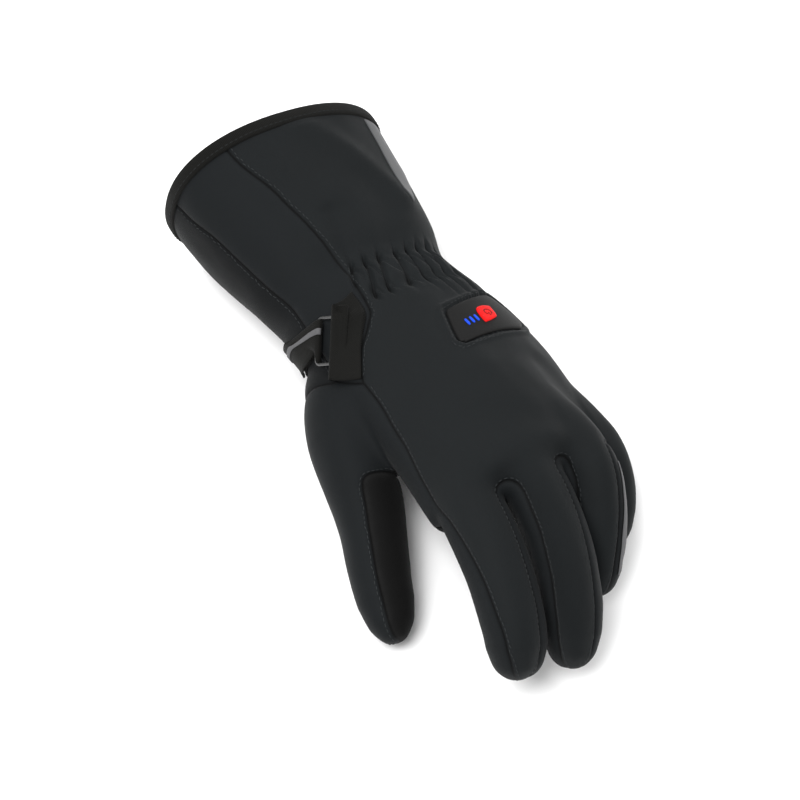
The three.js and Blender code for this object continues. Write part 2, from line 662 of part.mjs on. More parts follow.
// What is left: the thumb's side of the hand, then the strips between the fingers from the index finger on
const sides = handRest.subtract(palmRegion(seamGap)).subtract(palm).decompose()
  .sort((a, b) => b.volume() - a.volume()).slice(0, 4)
  .sort((a, b) => a.boundingBox().max[0] - b.boundingBox().max[0]);

// A tube that follows the hem, between two heights over the fabric
function hemRing(outside, inside, from, to) {
  const tube = (offset, smooth) => solidOfRings([to, cuffLength, from].map((y) => bodyAngles(smooth).map((angle) => (
    bodyPoint(clamp(y, bindingStart, cuffLength), angle, offset).setY(y)))));
  return tube(outside, false).subtract(tube(inside, true));
}
const hemBinding = hemRing(bindingLift, -wallThickness - bindingLift, bindingStart, cuffLength + bindingLift)
  .subtract(hemRing(seamGap, -wallThickness - seamGap, bindingStart - 1, cuffLength + seamGap));

// The pieces of the closure: the ring lies flat over the tab and the strap, which both loop round its long sides
const ringFrame = placeOn(RING_PLACE, ringSlant);
const ringHeight = webbingThickness + 2 * seamGap + ringWire;
const ringLength = webbingWidth + 2 * ringWire + 2 * seamGap;
function wireRing(wire) {
  const corner = 2.2;
  const half = [ringWidth / 2, ringLength / 2];
  const path = [];
  for (const [sx, sy, start] of [[1, 1, 0], [-1, 1, 90], [-1, -1, 180], [1, -1, 270]]) {
    for (let k = 0; k <= 2; k += 1) {
      const angle = radians(start + 45 * k);
      path.push([
        half[0] + sx * (half[0] - corner) + corner * Math.cos(angle),
        sy * (half[1] - corner) + corner * Math.sin(angle),
        angle,
      ]);
    }
  }
  const sides = 6;
  const rings = path.map(([a, f, angle]) => Array.from({ length: sides }, (_, j) => {
    const turn = (2 * Math.PI * (j + 0.5)) / sides;
    const out = Math.cos(turn) * wire;
    return ringFrame.point(a + Math.cos(angle) * out, f + Math.sin(angle) * out, ringHeight + Math.sin(turn) * wire);
  }));
  const count = rings.length;
  const positions = rings.flat().flatMap((q) => [q.x, q.y, q.z]);
  const triangles = [];
  for (let i = 0; i < count; i += 1) {
    for (let j = 0; j < sides; j += 1) {
      const a = i * sides + j;
      const b = i * sides + ((j + 1) % sides);
      const c = ((i + 1) % count) * sides + j;
      const d = ((i + 1) % count) * sides + ((j + 1) % sides);
      triangles.push(a, b, d, a, d, c);
    }
  }
  const build = (order) => new wasm.Manifold(new wasm.Mesh({
    numProp: 3, vertProperties: new Float32Array(positions), triVerts: new Uint32Array(order),
  }));
  const solid = build(triangles);
  return solid.volume() < 0 ? build(triangles.slice().reverse()) : solid;
}

// A band of even thickness along a line of stations; each station has points across the band and their thickness direction
function band(stations, thickness) {
  return solidOfRings(stations.map(({ points, out }) => [
    ...points.map((p, i) => p.clone().addScaledVector(out[i], thickness / 2)),
    ...points.map((p, i) => p.clone().addScaledVector(out[i], -thickness / 2)).reverse(),
  ]), Array.from({ length: 2 }, (_, i) => [[i, i + 1, 5 - i], [i + 1, 4 - i, 5 - i]]).flat());
}

// Stations straight across the ring's frame at a place along the strap's run and a height
function straightStation(a, h, outA, outH, places) {
  const out = vec(0, 0, 0).addScaledVector(ringFrame.across, outA).addScaledVector(ringFrame.out, outH).normalize();
  return { points: places.map((l) => ringFrame.point(a, l, h)), out: [out, out, out] };
}

// A loop round one long side of the ring: to = 1 opens towards the tab, -1 towards the strap
function loopStations(barAt, to, places) {
  const reach = ringWire + seamGap + webbingThickness / 2;
  return [-90, -54, -18, 18, 54, 90].map((degrees) => {
    const c = -to * Math.cos(radians(degrees));
    const h = Math.sin(radians(degrees));
    return straightStation(barAt + c * reach, ringHeight + h * reach, c, h, places);
  });
}

// Stations that follow the wrist round to the underside, at a height above it
function wristStations(height, places) {
  return STRAP_PATH.map((row, i) => {
    const before = STRAP_PATH[Math.max(i - 1, 0)];
    const after = STRAP_PATH[Math.min(i + 1, STRAP_PATH.length - 1)];
    const run = bodyPoint(forwardOf(after.along), after.round).sub(bodyPoint(forwardOf(before.along), before.round));
    const y = forwardOf(row.along);
    const turned = Math.atan2(run.y, Math.hypot(run.x, run.z));
    const reach = bodyPoint(y, row.round + 1).distanceTo(bodyPoint(y, row.round - 1)) / 2;
    const out = [];
    const points = places.map((l) => {
      const atY = y - l * Math.cos(turned);
      const atRound = row.round - (l * Math.sin(turned)) / reach;
      const n = bodyNormal(atY, atRound);
      out.push(n);
      return bodyPoint(atY, atRound).addScaledVector(n, height);
    });
    return { points, out };
  });
}

const strapPlaces = [-0.5, 0, 0.5].map((share) => share * webbingWidth);
const lowHeight = seamGap + webbingThickness / 2;
const highHeight = lowHeight + webbingThickness + seamGap;
const lower = wristStations(lowHeight, strapPlaces).reverse();
const upper = wristStations(highHeight, strapPlaces).slice(0, strapEndRow + 1);
const flipped = (stations) => stations.map(({ points, out }) => ({ points, out: out.map((n) => n.clone().negate()) }));
const keepClear = joined([bodySolid(seamGap), digitSolid('thumb', seamGap)]);
const ringClear = wireRing(ringWire + 0.8 * seamGap);
const strap = band([...flipped(lower), ...loopStations(0, -1, strapPlaces), ...upper], webbingThickness)
  .subtract(keepClear).subtract(ringClear);

const stripePlaces = STRIPE_SHARES.map((share) => share * webbingWidth);
const stripeHeight = highHeight + webbingThickness / 2 + seamGap + reflectorThickness / 2;
const loopHeight = ringHeight + ringWire + seamGap + webbingThickness + seamGap + reflectorThickness / 2;
const strapReflector = band([straightStation(-0.4, loopHeight, 0, 1, stripePlaces),
  ...wristStations(stripeHeight, stripePlaces).slice(0, strapEndRow + 1)], reflectorThickness);

const tabPlate = patch(TAB_OUTLINE, seamGap, seamGap + webbingThickness);
const tabLoop = band([
  ...flipped([straightStation(ringWidth + 5, -0.6, 0, 1, strapPlaces)]),
  ...loopStations(ringWidth, 1, strapPlaces),
  straightStation(ringWidth + 7, 0.4, 0, 1, strapPlaces),
], webbingThickness).subtract(keepClear);

const fingerReflector = digitSlice('ring', FINGER_REFLECTOR)
  .intersect(digitSolid('ring', seamGap + reflectorThickness).subtract(digitSolid('ring', seamGap)))
  .subtract(digitSolid('little', seamGap));

const padTop = seamGap + padThickness;
const buttonTop = padTop + seamGap + buttonThickness;
const pieces = [
  ['hem_binding', hemBinding, '#242424'],
  ['strap_tab', tabPlate.add(tabLoop).subtract(ringClear), '#242422'],
  ['strap', strap, '#232321'],
  ['strap_reflector', strapReflector, '#717375'],
  ['buckle_ring', wireRing(ringWire), '#1d1d1d', { metalness: 0.6, roughness: 0.4 }],
  ['control_pad', padPiece(PAD_OUTLINE, [0, 0], seamGap, padTop), '#2b2b2b'],
  ['power_button', padPiece(BUTTON_OUTLINE, [0, 0], padTop + seamGap, buttonTop), '#dd2524', { emissive: '#dd2524', emissiveIntensity: 0.4 }],
  ...LIGHT_PLACES.map((place, i) => [`level_light_${i + 1}`,
    padPiece(LIGHT_OUTLINE, place, padTop + seamGap, padTop + seamGap + lightThickness), '#2c5cae', { emissive: '#2c5cae', emissiveIntensity: 0.4 }]),
  ['finger_reflector', fingerReflector, '#747678'],
  ['cuff_reflector', patch(CUFF_REFLECTOR, seamGap, seamGap + reflectorThickness), '#747678'],
];

const panels = [
  ['back_panel', backPanel, '#292c2d'],
  ['cuff_side_panel', cuffSide, '#27292b'],
  ['cuff_under_panel', cuffUnder, '#2f3133'],
  ['thumb_side_panel', sides[0], '#27292b'],
  ['thumb_inner_panel', thumbInner, '#181818'],
  ['palm_panel', palm, '#1c1c1c'],
  ['fourchette_index', sides[1], '#232527'],
  ['fourchette_middle', sides[2], '#232527'],
  ['fourchette_ring', sides[3], '#232527'],
];

const glove = new THREE.Group();
glove.name = 'heated_glove';
for (const [name, solid, colour, look] of [...panels, ...pieces]) glove.add(meshOf(largest(solid), name, colour, look));

// The origin lies under the middle of the whole glove, on the surface it rests on
const bounds = new THREE.Box3().setFromObject(glove);
const middle = bounds.getCenter(new THREE.Vector3());
glove.position.set(-middle.x, -middle.y, -bounds.min.z);

export default glove;
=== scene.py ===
"""A heated winter glove for the left hand, lying palm down, as a reusable part.

The forms below are worked out in millimetres with the wrist at y = 0, the cuff towards +Y, the fingers
towards -Y, the thumb towards -X and the floor at z = 0, and become metres where a mesh is made.
"""

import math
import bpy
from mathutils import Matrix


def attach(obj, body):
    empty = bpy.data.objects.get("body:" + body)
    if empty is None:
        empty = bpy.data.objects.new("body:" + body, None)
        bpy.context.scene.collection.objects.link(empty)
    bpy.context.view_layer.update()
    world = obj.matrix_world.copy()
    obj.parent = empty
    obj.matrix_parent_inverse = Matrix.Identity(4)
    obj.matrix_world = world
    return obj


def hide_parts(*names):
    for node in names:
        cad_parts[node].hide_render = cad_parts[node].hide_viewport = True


bl_info = {
    "name": "Heated Glove",
    "version": (1, 0, 0),
    "blender": (4, 5, 0),
    "location": "View3D > Sidebar > Glove",
    "description": "Sews a heated winter glove over its packed frame",
    "category": "Add Mesh",
}

from collections import namedtuple

import bmesh
import bpy
import numpy as np
from mathutils import Matrix, Vector, noise
from mathutils.bvhtree import BVHTree
from mathutils.kdtree import KDTree

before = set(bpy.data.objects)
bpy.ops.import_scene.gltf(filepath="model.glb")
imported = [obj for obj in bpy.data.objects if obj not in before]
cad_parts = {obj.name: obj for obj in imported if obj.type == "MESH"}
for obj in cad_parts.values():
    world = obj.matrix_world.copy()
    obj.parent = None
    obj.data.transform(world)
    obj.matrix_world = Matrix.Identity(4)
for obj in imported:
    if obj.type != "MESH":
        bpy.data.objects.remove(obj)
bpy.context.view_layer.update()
MM = 0.001

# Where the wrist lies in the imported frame
SHIFT = np.array([11.03, 65.03, 0.0])

# Sizes of the cuff and the hand, as in the frame
CUFF_LENGTH = 97.0
CUFF_SIZE = (124.0, 87.0)
WRIST_SIZE = (96.0, 62.0)
PALM_LENGTH = 146.0
PALM_SIZE = (108.0, 56.0)
KNUCKLE_RISE = 22.0
KNUCKLE_HEIGHT = 60.0
FINGER_REACH = 72.0
FINGER_SIZE = (31.0, 32.0)
THUMB_REACH = 118.0
TIP_REACH = 5.0
# Power of the rounded square that a section of the body is, where 2 would be an ellipse
SQUARENESS = 2.25
WALL = 3.6
BINDING_WIDTH = 8.0
BINDING_LIFT = 1.6
WEBBING_WIDTH = 21.0
WEBBING_THICKNESS = 1.2
TAB_THICKNESS = WEBBING_THICKNESS * 0.7
SEAM_GAP = 0.3
# The ring's wire, by its radius, and the middle line of the rectangle that it is bent to
RING_WIRE = 0.9
RING_WIDTH = 10.6
RING_LENGTH = WEBBING_WIDTH + 2 * (RING_WIRE + SEAM_GAP)
RING_CORNER = 2.6
RING_HEIGHT = WEBBING_THICKNESS + 2 * SEAM_GAP + RING_WIRE
PAD_SIZE = (47.0, 31.0)
PAD_THICKNESS = 1.8
PAD_STITCH_GAP = 3.7
BUTTON_THICKNESS = 0.9
SYMBOL_RADIUS = 2.1
SYMBOL_LINE = 0.64
LIGHT_THICKNESS = 0.5
FILM_THICKNESS = 0.4
STITCH_FLOOR = 0.3

# A section of the body: at runs from 1 at the hem through 0 at the wrist to -1 at the slits
Section = namedtuple("Section", "at swell sway rise lean arch")
BODY_SECTIONS = [
    Section(1.0, 1.0, -0.03, -0.14, 12, 0),
    Section(0.75, 0.88, -0.03, -0.14, 12, 0),
    Section(0.5, 0.66, -0.02, -0.08, 12, 0),
    Section(0.25, 0.34, -0.01, 0.08, 11, 0),
    Section(0.0, 0.0, -0.01, 0.23, 10, 0),
    Section(-0.16, 0.55, 0.03, 0.36, 9, 0.04),
    Section(-0.4, 1.0, 0.07, 0.65, 7, 0.16),
    Section(-0.65, 1.0, 0.09, 0.9, 5, 0.36),
    Section(-0.94, 0.97, 0.08, 0.97, 4, 0.55),
]
# The rounded front between the finger roots: how far past the last section, and the share of its size left
Front = namedtuple("Front", "past left")
BODY_FRONT = [Front(0, 1.0), Front(2, 0.96), Front(4, 0.88), Front(6, 0.79), Front(8, 0.68), Front(10, 0.5),
              Front(11, 0.36)]
# A point on a digit's centre line, in shares of palm width, finger or thumb reach, and knuckle height
Joint = namedtuple("Joint", "across past high")
DIGITS = {
    "index": (1.0, [Joint(-0.22, -0.6, 0.9), Joint(-0.265, 0.03, 0.98), Joint(-0.305, 0.42, 0.92),
                    Joint(-0.365, 0.79, 0.74), Joint(-0.42, 1.0, 0.5)]),
    "middle": (0.97, [Joint(0.06, -0.6, 1.0), Joint(0.055, 0.03, 0.98), Joint(0.02, 0.42, 0.84),
                      Joint(-0.06, 0.79, 0.6), Joint(-0.15, 1.05, 0.33)]),
    "ring": (0.9, [Joint(0.3, -0.6, 0.9), Joint(0.34, 0.03, 0.85), Joint(0.3, 0.25, 0.69),
                   Joint(0.235, 0.42, 0.5), Joint(0.14, 0.62, 0.235)]),
    "little": (0.82, [Joint(0.46, -0.7, 0.58), Joint(0.515, -0.23, 0.44), Joint(0.495, -0.05, 0.38),
                      Joint(0.455, 0.1, 0.28), Joint(0.345, 0.32, 0.155)]),
    "thumb": (1.0, [Joint(-0.26, 0.2, 0.6), Joint(-0.44, 0.5, 0.56), Joint(-0.56, 0.88, 0.42),
                    Joint(-0.68, 1.17, 0.3), Joint(-0.75, 1.38, 0.225)]),
}
# Share of a digit's girth at a share along it
Girth = namedtuple("Girth", "along share")
FINGER_GIRTHS = [Girth(0.0, 0.9), Girth(0.2, 1.0), Girth(0.38, 1.03), Girth(0.54, 1.02), Girth(0.68, 1.0),
                 Girth(0.8, 0.97), Girth(0.89, 0.91), Girth(0.96, 0.72), Girth(1.0, 0.34)]
THUMB_GIRTHS = [Girth(0.0, 1.1), Girth(0.15, 1.3), Girth(0.32, 1.33), Girth(0.5, 1.2), Girth(0.64, 1.05),
                Girth(0.78, 0.98), Girth(0.88, 0.9), Girth(0.95, 0.72), Girth(1.0, 0.36)]

# Soft folds and dents: points in shares along and degrees round, height and spread in millimetres
Fold = namedtuple("Fold", "height spread points")
FOLDS = [
    Fold(2.2, 7, [(0.9, 86), (0.7, 71), (0.55, 64), (0.36, 50)]),
    Fold(-2.4, 5, [(0.36, 96), (0.2, 99), (0.08, 100)]),
    Fold(-1.8, 8, [(0.5, 66), (0.28, 68), (0.12, 74)]),
    Fold(-1.2, 10, [(-0.72, 118), (-0.8, 96), (-0.86, 78)]),
    Fold(-1.6, 7, [(-0.6, 50), (-0.8, 44), (-0.94, 40)]),
    Fold(1.2, 9, [(-0.2, 88), (-0.42, 96), (-0.56, 92)]),
]
# The elastic across the back of the wrist: where its two rows lie, the degrees that they span, and the pleats
# between them, with the half widths of the creases that lean forward and of the weaker ones that lean back
GATHER_ROWS = (-16.0, 4.0)
GATHER_DEGREES = (38.0, 108.0)
GATHER_PLEATS = 7.5
GATHER_SLANT = 1.6
GATHER_DEPTH = 2.9
FORWARD_CREASE = 0.17
BACKWARD_CREASE = 0.13

# Lines and outlines on the body: share along (positive on the cuff) and degrees round it
TAB_RIGHT = [(-0.07, 113.5), (-0.165, 115), (-0.225, 123.5), (-0.3, 135.5), (-0.38, 147)]
TAB_LEFT = [(-0.095, 121), (-0.14, 128.5), (-0.2, 138.5), (-0.27, 150), (-0.345, 161)]
RING_PLACE = (-0.155, 155)
RING_SLANT = -42
STRAP_PATH = [(-0.118, 168), (-0.1, 177), (-0.088, 187), (-0.078, 198), (-0.07, 210), (-0.066, 222),
              (-0.064, 234)]
# How many stations the strap's run and the tab have, and how many of the strap's its end goes back over
STRAP_STATIONS = 40
STRAP_RETURN = 24
TAB_STATIONS = 12
TAB_ROWS = 30
# The reflective stripe's edges, in shares of the webbing's width
STRIPE_SHARES = (-0.3, -0.16)
PAD_PLACE = (-0.343, 62)
# Outlines on the pad's plane: shares of the pad's length across the hand and of its width forward
PAD_OUTLINE = [(-0.425, -0.13), (-0.385, -0.25), (-0.305, -0.29), (0.235, -0.48), (0.335, -0.48),
               (0.395, -0.41), (0.505, -0.04), (0.515, 0.12), (0.455, 0.25), (0.275, 0.4), (-0.425, 0.52),
               (-0.485, 0.5), (-0.525, 0.38)]
BUTTON_OUTLINE = [(-0.085, -0.07), (0.005, -0.14), (0.105, -0.13), (0.125, -0.09), (0.105, 0.11),
                  (0.065, 0.17), (-0.075, 0.24), (-0.115, 0.21)]
LIGHT_OUTLINE = [(-0.011, -0.06), (0.011, -0.065), (0.011, 0.06), (-0.011, 0.065)]
LIGHT_PLACES = [(-0.31, 0.15), (-0.24, 0.13), (-0.17, 0.11)]
# The film on the cuff, in shares along and degrees, and on the ring finger, in shares along and two degrees
CUFF_REFLECTOR = [(0.912, 45), (0.72, 45.5), (0.55, 47.5), (0.41, 49), (0.33, 45), (0.45, 35), (0.6, 26),
                  (0.75, 20), (0.912, 17)]
FINGER_REFLECTOR = [(0.46, 22, 25), (0.56, 14, 28), (0.68, 9, 30), (0.8, 10, 30), (0.9, 20, 26)]


def rows_of(table, column):
    """A table's column as numbers."""
    return np.array([getattr(row, column) for row in table], float)


def smooth_column(table, column, place):
    """A section table's column at many places, on a smooth curve through its rows."""
    at, value = rows_of(table, "at"), rows_of(table, column)
    i = np.clip(np.searchsorted(-at, -place, side="right") - 1, 0, len(at) - 2)
    t = np.clip((place - at[i]) / (at[i + 1] - at[i]), 0, 1)
    a, b, c, d = (value[np.clip(i + k, 0, len(at) - 1)] for k in (-1, 0, 1, 2))
    return b + 0.5 * t * (c - a + t * (2 * a - 5 * b + 4 * c - d + t * (3 * (b - c) + d - a)))


def length_of(share):
    """Millimetres along the glove for a share: positive on the cuff, negative on the palm."""
    share = np.asarray(share, float)
    return np.where(share > 0, share * CUFF_LENGTH, share * PALM_LENGTH)


def share_of(y):
    """The share along the glove at y."""
    y = np.asarray(y, float)
    return np.where(y > 0, y / CUFF_LENGTH, y / PALM_LENGTH)


def section_at(y):
    """Half sizes, lean, arch and centre of the body's section at each y."""
    place = share_of(y)
    swell = smooth_column(BODY_SECTIONS, "swell", place)
    halves = []
    for wrist, cuff, palm in zip(WRIST_SIZE, CUFF_SIZE, PALM_SIZE):
        halves.append((wrist + (np.where(y > 0, cuff, palm) - wrist) * swell) / 2)
    lean = np.radians(smooth_column(BODY_SECTIONS, "lean", place))
    arch = smooth_column(BODY_SECTIONS, "arch", place) * PALM_SIZE[1]
    x = smooth_column(BODY_SECTIONS, "sway", place) * PALM_SIZE[0]
    z = halves[1] + smooth_column(BODY_SECTIONS, "rise", place) * KNUCKLE_RISE
    return halves[0], halves[1], lean, arch, x, z


def binding_lift(y):
    """How far the tape below the hem holds the cuff's underside off the floor at y."""
    return np.clip((y - (CUFF_LENGTH - BINDING_WIDTH)) / 2 + 1, 0, 1) * BINDING_LIFT


def body_points(y, degrees, offset=0.0, left=1.0):
    """Points of the body's surface at y and degrees round it (90 is the back, 180 the thumb's side)."""
    y, degrees = np.broadcast_arrays(np.asarray(y, float), np.asarray(degrees, float))
    half_width, half_height, lean, arch, x0, z0 = section_at(y)
    c, s = np.cos(np.radians(degrees)), np.sin(np.radians(degrees))
    power = 2 / SQUARENESS
    u = np.sign(c) * np.abs(c) ** power * (half_width * left + offset)
    v = np.sign(s) * np.abs(s) ** power * (half_height * left + offset)
    side = np.maximum(0, u / half_width)
    x = x0 + u * np.cos(lean) + v * np.sin(lean)
    z = z0 - u * np.sin(lean) + v * np.cos(lean) - arch * side ** 2
    return np.stack([x, y, np.maximum(z, binding_lift(y) - offset)], -1)


def body_normals(y, degrees):
    """Ways out of the body's surface, over a step of three degrees and three millimetres."""
    step = 3.0
    a = body_points(y, degrees + step) - body_points(y, degrees - step)
    b = body_points(y + step, degrees) - body_points(y - step, degrees)
    n = np.cross(a, b)
    n /= np.linalg.norm(n, axis=-1, keepdims=True)
    out = body_points(y, degrees, 5.0) - body_points(y, degrees)
    return np.where(np.sum(n * out, -1, keepdims=True) < 0, -n, n)


def body_places(points):
    """The share along the glove and the degrees round it of points near the body's surface."""
    y = points[:, 1]
    half_width, half_height, lean, arch, x0, z0 = section_at(y)
    dx, dz = points[:, 0] - x0, points[:, 2] - z0
    u = dx * np.cos(lean) - dz * np.sin(lean)
    for _ in range(3):
        drop = arch * np.maximum(0, u / half_width) ** 2
        u = dx * np.cos(lean) - (dz + drop) * np.sin(lean)
    v = dx * np.sin(lean) + (dz + drop) * np.cos(lean)
    power = SQUARENESS / 2
    c = np.sign(u) * np.abs(u / half_width) ** power
    s = np.sign(v) * np.abs(v / half_height) ** power
    return share_of(y), np.degrees(np.arctan2(s, c)) % 360


def fold_relief(points):
    """How far the soft folds and dents of the body move the surface out at the points."""
    _, degrees = body_places(points)
    half_width, half_height = section_at(points[:, 1])[:2]
    reach = (half_width + half_height) / 2
    around = (degrees + 180) % 360 - 180
    place = np.stack([points[:, 1], np.radians(around) * reach], 1)
    out = np.zeros(len(points))
    for fold in FOLDS:
        nearest = np.full(len(points), np.inf)
        for ends in zip(fold.points, fold.points[1:]):
            a, b = (np.stack([np.full(len(points), length_of(share)), np.radians(angle) * reach], 1)
                    for share, angle in ends)
            run = b - a
            t = np.clip(np.sum((place - a) * run, 1) / np.sum(run * run, 1), 0, 1)[:, None]
            nearest = np.minimum(nearest, np.linalg.norm(place - a - run * t, axis=1))
        out += fold.height * np.exp(-((nearest / fold.spread) ** 2))
    return out


def gather_relief(points):
    """Height of the pleats that two rows of elastic pull across the back of the wrist, and a crease mask for
    the shade painted into their valleys.
    """
    _, degrees = body_places(points)
    around = (degrees + 180) % 360 - 180
    low, high = GATHER_ROWS
    span = high - low
    t = (high - points[:, 1]) / span
    phase = (around - GATHER_DEGREES[0]) / (GATHER_DEGREES[1] - GATHER_DEGREES[0])
    wobble = np.array([noise.noise((p[0] * 0.06, p[1] * 0.04, 7.0)) for p in points.tolist()])
    lane = phase * GATHER_PLEATS + 0.55 * wobble
    slip = np.clip(t, -0.15, 1.15) * 0.5
    forward = np.abs((lane - slip * GATHER_SLANT + 0.5) % 1 - 0.5)
    backward = np.abs((lane + slip + 0.5) % 1 - 0.5)
    between = np.clip(np.minimum(t + 0.35, 1.35 - t) / 0.4, 0, 1)
    valley = np.maximum(np.exp(-((forward / FORWARD_CREASE) ** 2)),
                        0.6 * between * np.exp(-((backward / BACKWARD_CREASE) ** 2)))
    inside = np.clip(np.minimum(phase + 0.05, 1.05 - phase) / 0.1, 0, 1)
    above = np.exp(-((np.minimum(t, 0) * span / 5) ** 2))
    right = np.clip(1 - phase * 1.8, 0, 1)
    below = np.exp(-((np.maximum(t - 1, 0) * span / (6 + 16 * right)) ** 2))
    rows = np.exp(-((t * span / 4) ** 2)) + np.exp(-(((t - 1) * span / 4) ** 2))
    reach = inside * above * below
    height = (0.4 - rows * 0.35 - valley * (0.85 + 0.35 * rows)) * GATHER_DEPTH * reach
    return height, valley * reach * (0.75 + 0.25 * rows)


def digit_line(name):
    """Points, directions and running shares of a digit's centre line."""
    _, joints = DIGITS[name]
    reach, start = (THUMB_REACH, 0.0) if name == "thumb" else (FINGER_REACH, PALM_LENGTH)
    points = [np.array([j.across * PALM_SIZE[0], -start - j.past * reach, j.high * KNUCKLE_HEIGHT])
              for j in joints]
    points = [2 * points[0] - points[1]] + points + [2 * points[-1] - points[-2]]
    line = []
    for a, b, c, d in zip(points, points[1:], points[2:], points[3:]):
        t0, t1, t2 = (np.linalg.norm(q - p) ** 0.5 for p, q in ((a, b), (b, c), (c, d)))
        m1 = ((b - a) / t0 - (c - a) / (t0 + t1) + (c - b) / t1) * t1
        m2 = ((c - b) / t1 - (d - b) / (t1 + t2) + (d - c) / t2) * t1
        t = np.linspace(0, 1, 60)[:, None]
        line.append(b + m1 * t + (3 * (c - b) - 2 * m1 - m2) * t ** 2 + (2 * (b - c) + m1 + m2) * t ** 3)
    line = np.concatenate(line)
    line = line[np.concatenate([[True], np.linalg.norm(np.diff(line, axis=0), axis=1) > 1e-6])]
    run = np.concatenate([[0], np.cumsum(np.linalg.norm(np.diff(line, axis=0), axis=1))])
    return line, np.gradient(line, run, axis=0), run / run[-1]


def digit_frames(name, along, offset=0.0):
    """Centre, side, up, half width and half depth of a digit at shares along it."""
    girth, _ = DIGITS[name]
    line, heading, shares = digit_line(name)
    table = THUMB_GIRTHS if name == "thumb" else FINGER_GIRTHS
    along = np.atleast_1d(np.asarray(along, float))
    at = np.stack([np.interp(along, shares, line[:, k]) for k in range(3)], 1)
    forward = np.stack([np.interp(along, shares, heading[:, k]) for k in range(3)], 1)
    forward /= np.linalg.norm(forward, axis=1, keepdims=True)
    share = np.interp(along, rows_of(table, "along"), rows_of(table, "share"))
    at += forward * (np.clip((along - 0.85) / 0.15, 0, 1) * (TIP_REACH * girth + offset))[:, None]
    side = np.stack([-forward[:, 1], forward[:, 0], np.zeros(len(along))], 1)
    side /= np.linalg.norm(side, axis=1, keepdims=True)
    side *= np.sign(side[:, :1])
    up = np.cross(forward, side)
    up *= np.sign(up[:, 2:])
    half_width = (FINGER_SIZE[0] / 2 * girth + offset) * share
    half_depth = (FINGER_SIZE[1] / 2 * girth + offset) * share
    return at, side, up, half_width, half_depth


def digit_points(name, along, degrees, offset=0.0):
    """Points of a digit's surface, a row for each share along it."""
    at, side, up, half_width, half_depth = digit_frames(name, along, offset)
    angle = np.radians(np.asarray(degrees, float))
    c, s = np.cos(angle), np.sin(angle)
    points = (at[:, None] + side[:, None] * (half_width[:, None] * c)[..., None]
              + up[:, None] * (half_depth[:, None] * s)[..., None])
    points[..., 2] = np.maximum(points[..., 2], -offset)
    return points


def lofted(rings, first_vertex=0):
    """Vertices and faces of a closed loft through rings, with its ends filled from their middles."""
    count, sides = rings.shape[:2]
    vertices = np.concatenate([rings.reshape(-1, 3), rings[:1].mean(1), rings[-1:].mean(1)])
    faces = []
    for i in range(count - 1):
        for j in range(sides):
            k = (j + 1) % sides
            faces.append((i * sides + j, i * sides + k, (i + 1) * sides + k, (i + 1) * sides + j))
    for j in range(sides):
        k = (j + 1) % sides
        faces.append((count * sides, k, j))
        faces.append((count * sides + 1, (count - 1) * sides + j, (count - 1) * sides + k))
    return vertices, [tuple(v + first_vertex for v in face) for face in faces]


def ring_faces(rings):
    """Faces of a tube that closes on itself, through rings of points."""
    count, sides = rings.shape[:2]
    faces = []
    for i in range(count):
        k = (i + 1) % count
        for j in range(sides):
            m = (j + 1) % sides
            faces.append((i * sides + j, k * sides + j, k * sides + m, i * sides + m))
    return faces


def mesh_object(name, vertices, faces, uvs=None):
    """A smooth mesh object made from millimetre vertices already in the frame's place."""
    mesh = bpy.data.meshes.new(name)
    loops = [tuple(int(v) for v in face) for face in faces]
    mesh.from_pydata((np.asarray(vertices) * MM).tolist(), [], loops)
    mesh.polygons.foreach_set("use_smooth", [True] * len(mesh.polygons))
    if uvs is not None:
        layer = mesh.uv_layers.new(name="weave")
        corners = np.empty(len(mesh.loops), int)
        mesh.loops.foreach_get("vertex_index", corners)
        layer.data.foreach_set("uv", np.asarray(uvs, float)[corners].ravel())
    mesh.validate()
    mesh.update()
    obj = bpy.data.objects.new(name, mesh)
    bpy.context.collection.objects.link(obj)
    return obj


def outward(obj):
    """Turns a closed mesh's faces outwards."""
    bm = bmesh.new()
    bm.from_mesh(obj.data)
    bmesh.ops.recalc_face_normals(bm, faces=bm.faces)
    bm.to_mesh(obj.data)
    bm.free()
    return obj


def plain_mesh(obj, name):
    """What an object's modifiers make, as a plain mesh object; the first object is removed."""
    depsgraph = bpy.context.evaluated_depsgraph_get()
    mesh = bpy.data.meshes.new_from_object(obj.evaluated_get(depsgraph), depsgraph=depsgraph)
    mesh.name = name
    made = bpy.data.objects.new(name, mesh)
    bpy.context.collection.objects.link(made)
    old = obj.data
    bpy.data.objects.remove(obj)
    if isinstance(old, bpy.types.Mesh):
        bpy.data.meshes.remove(old)
    return made


PANELS = ["back_panel", "cuff_side_panel", "cuff_under_panel", "thumb_side_panel", "thumb_inner_panel",
          "palm_panel", "fourchette_index", "fourchette_middle", "fourchette_ring"]
VOXEL = 1.22
# How far from a join of two forms, on top between fingers, and from a tip the skin is evened out
JOIN_REACH = 7.0
TOP_JOIN_REACH = 16.0
TIP_ROUNDING = 17.0


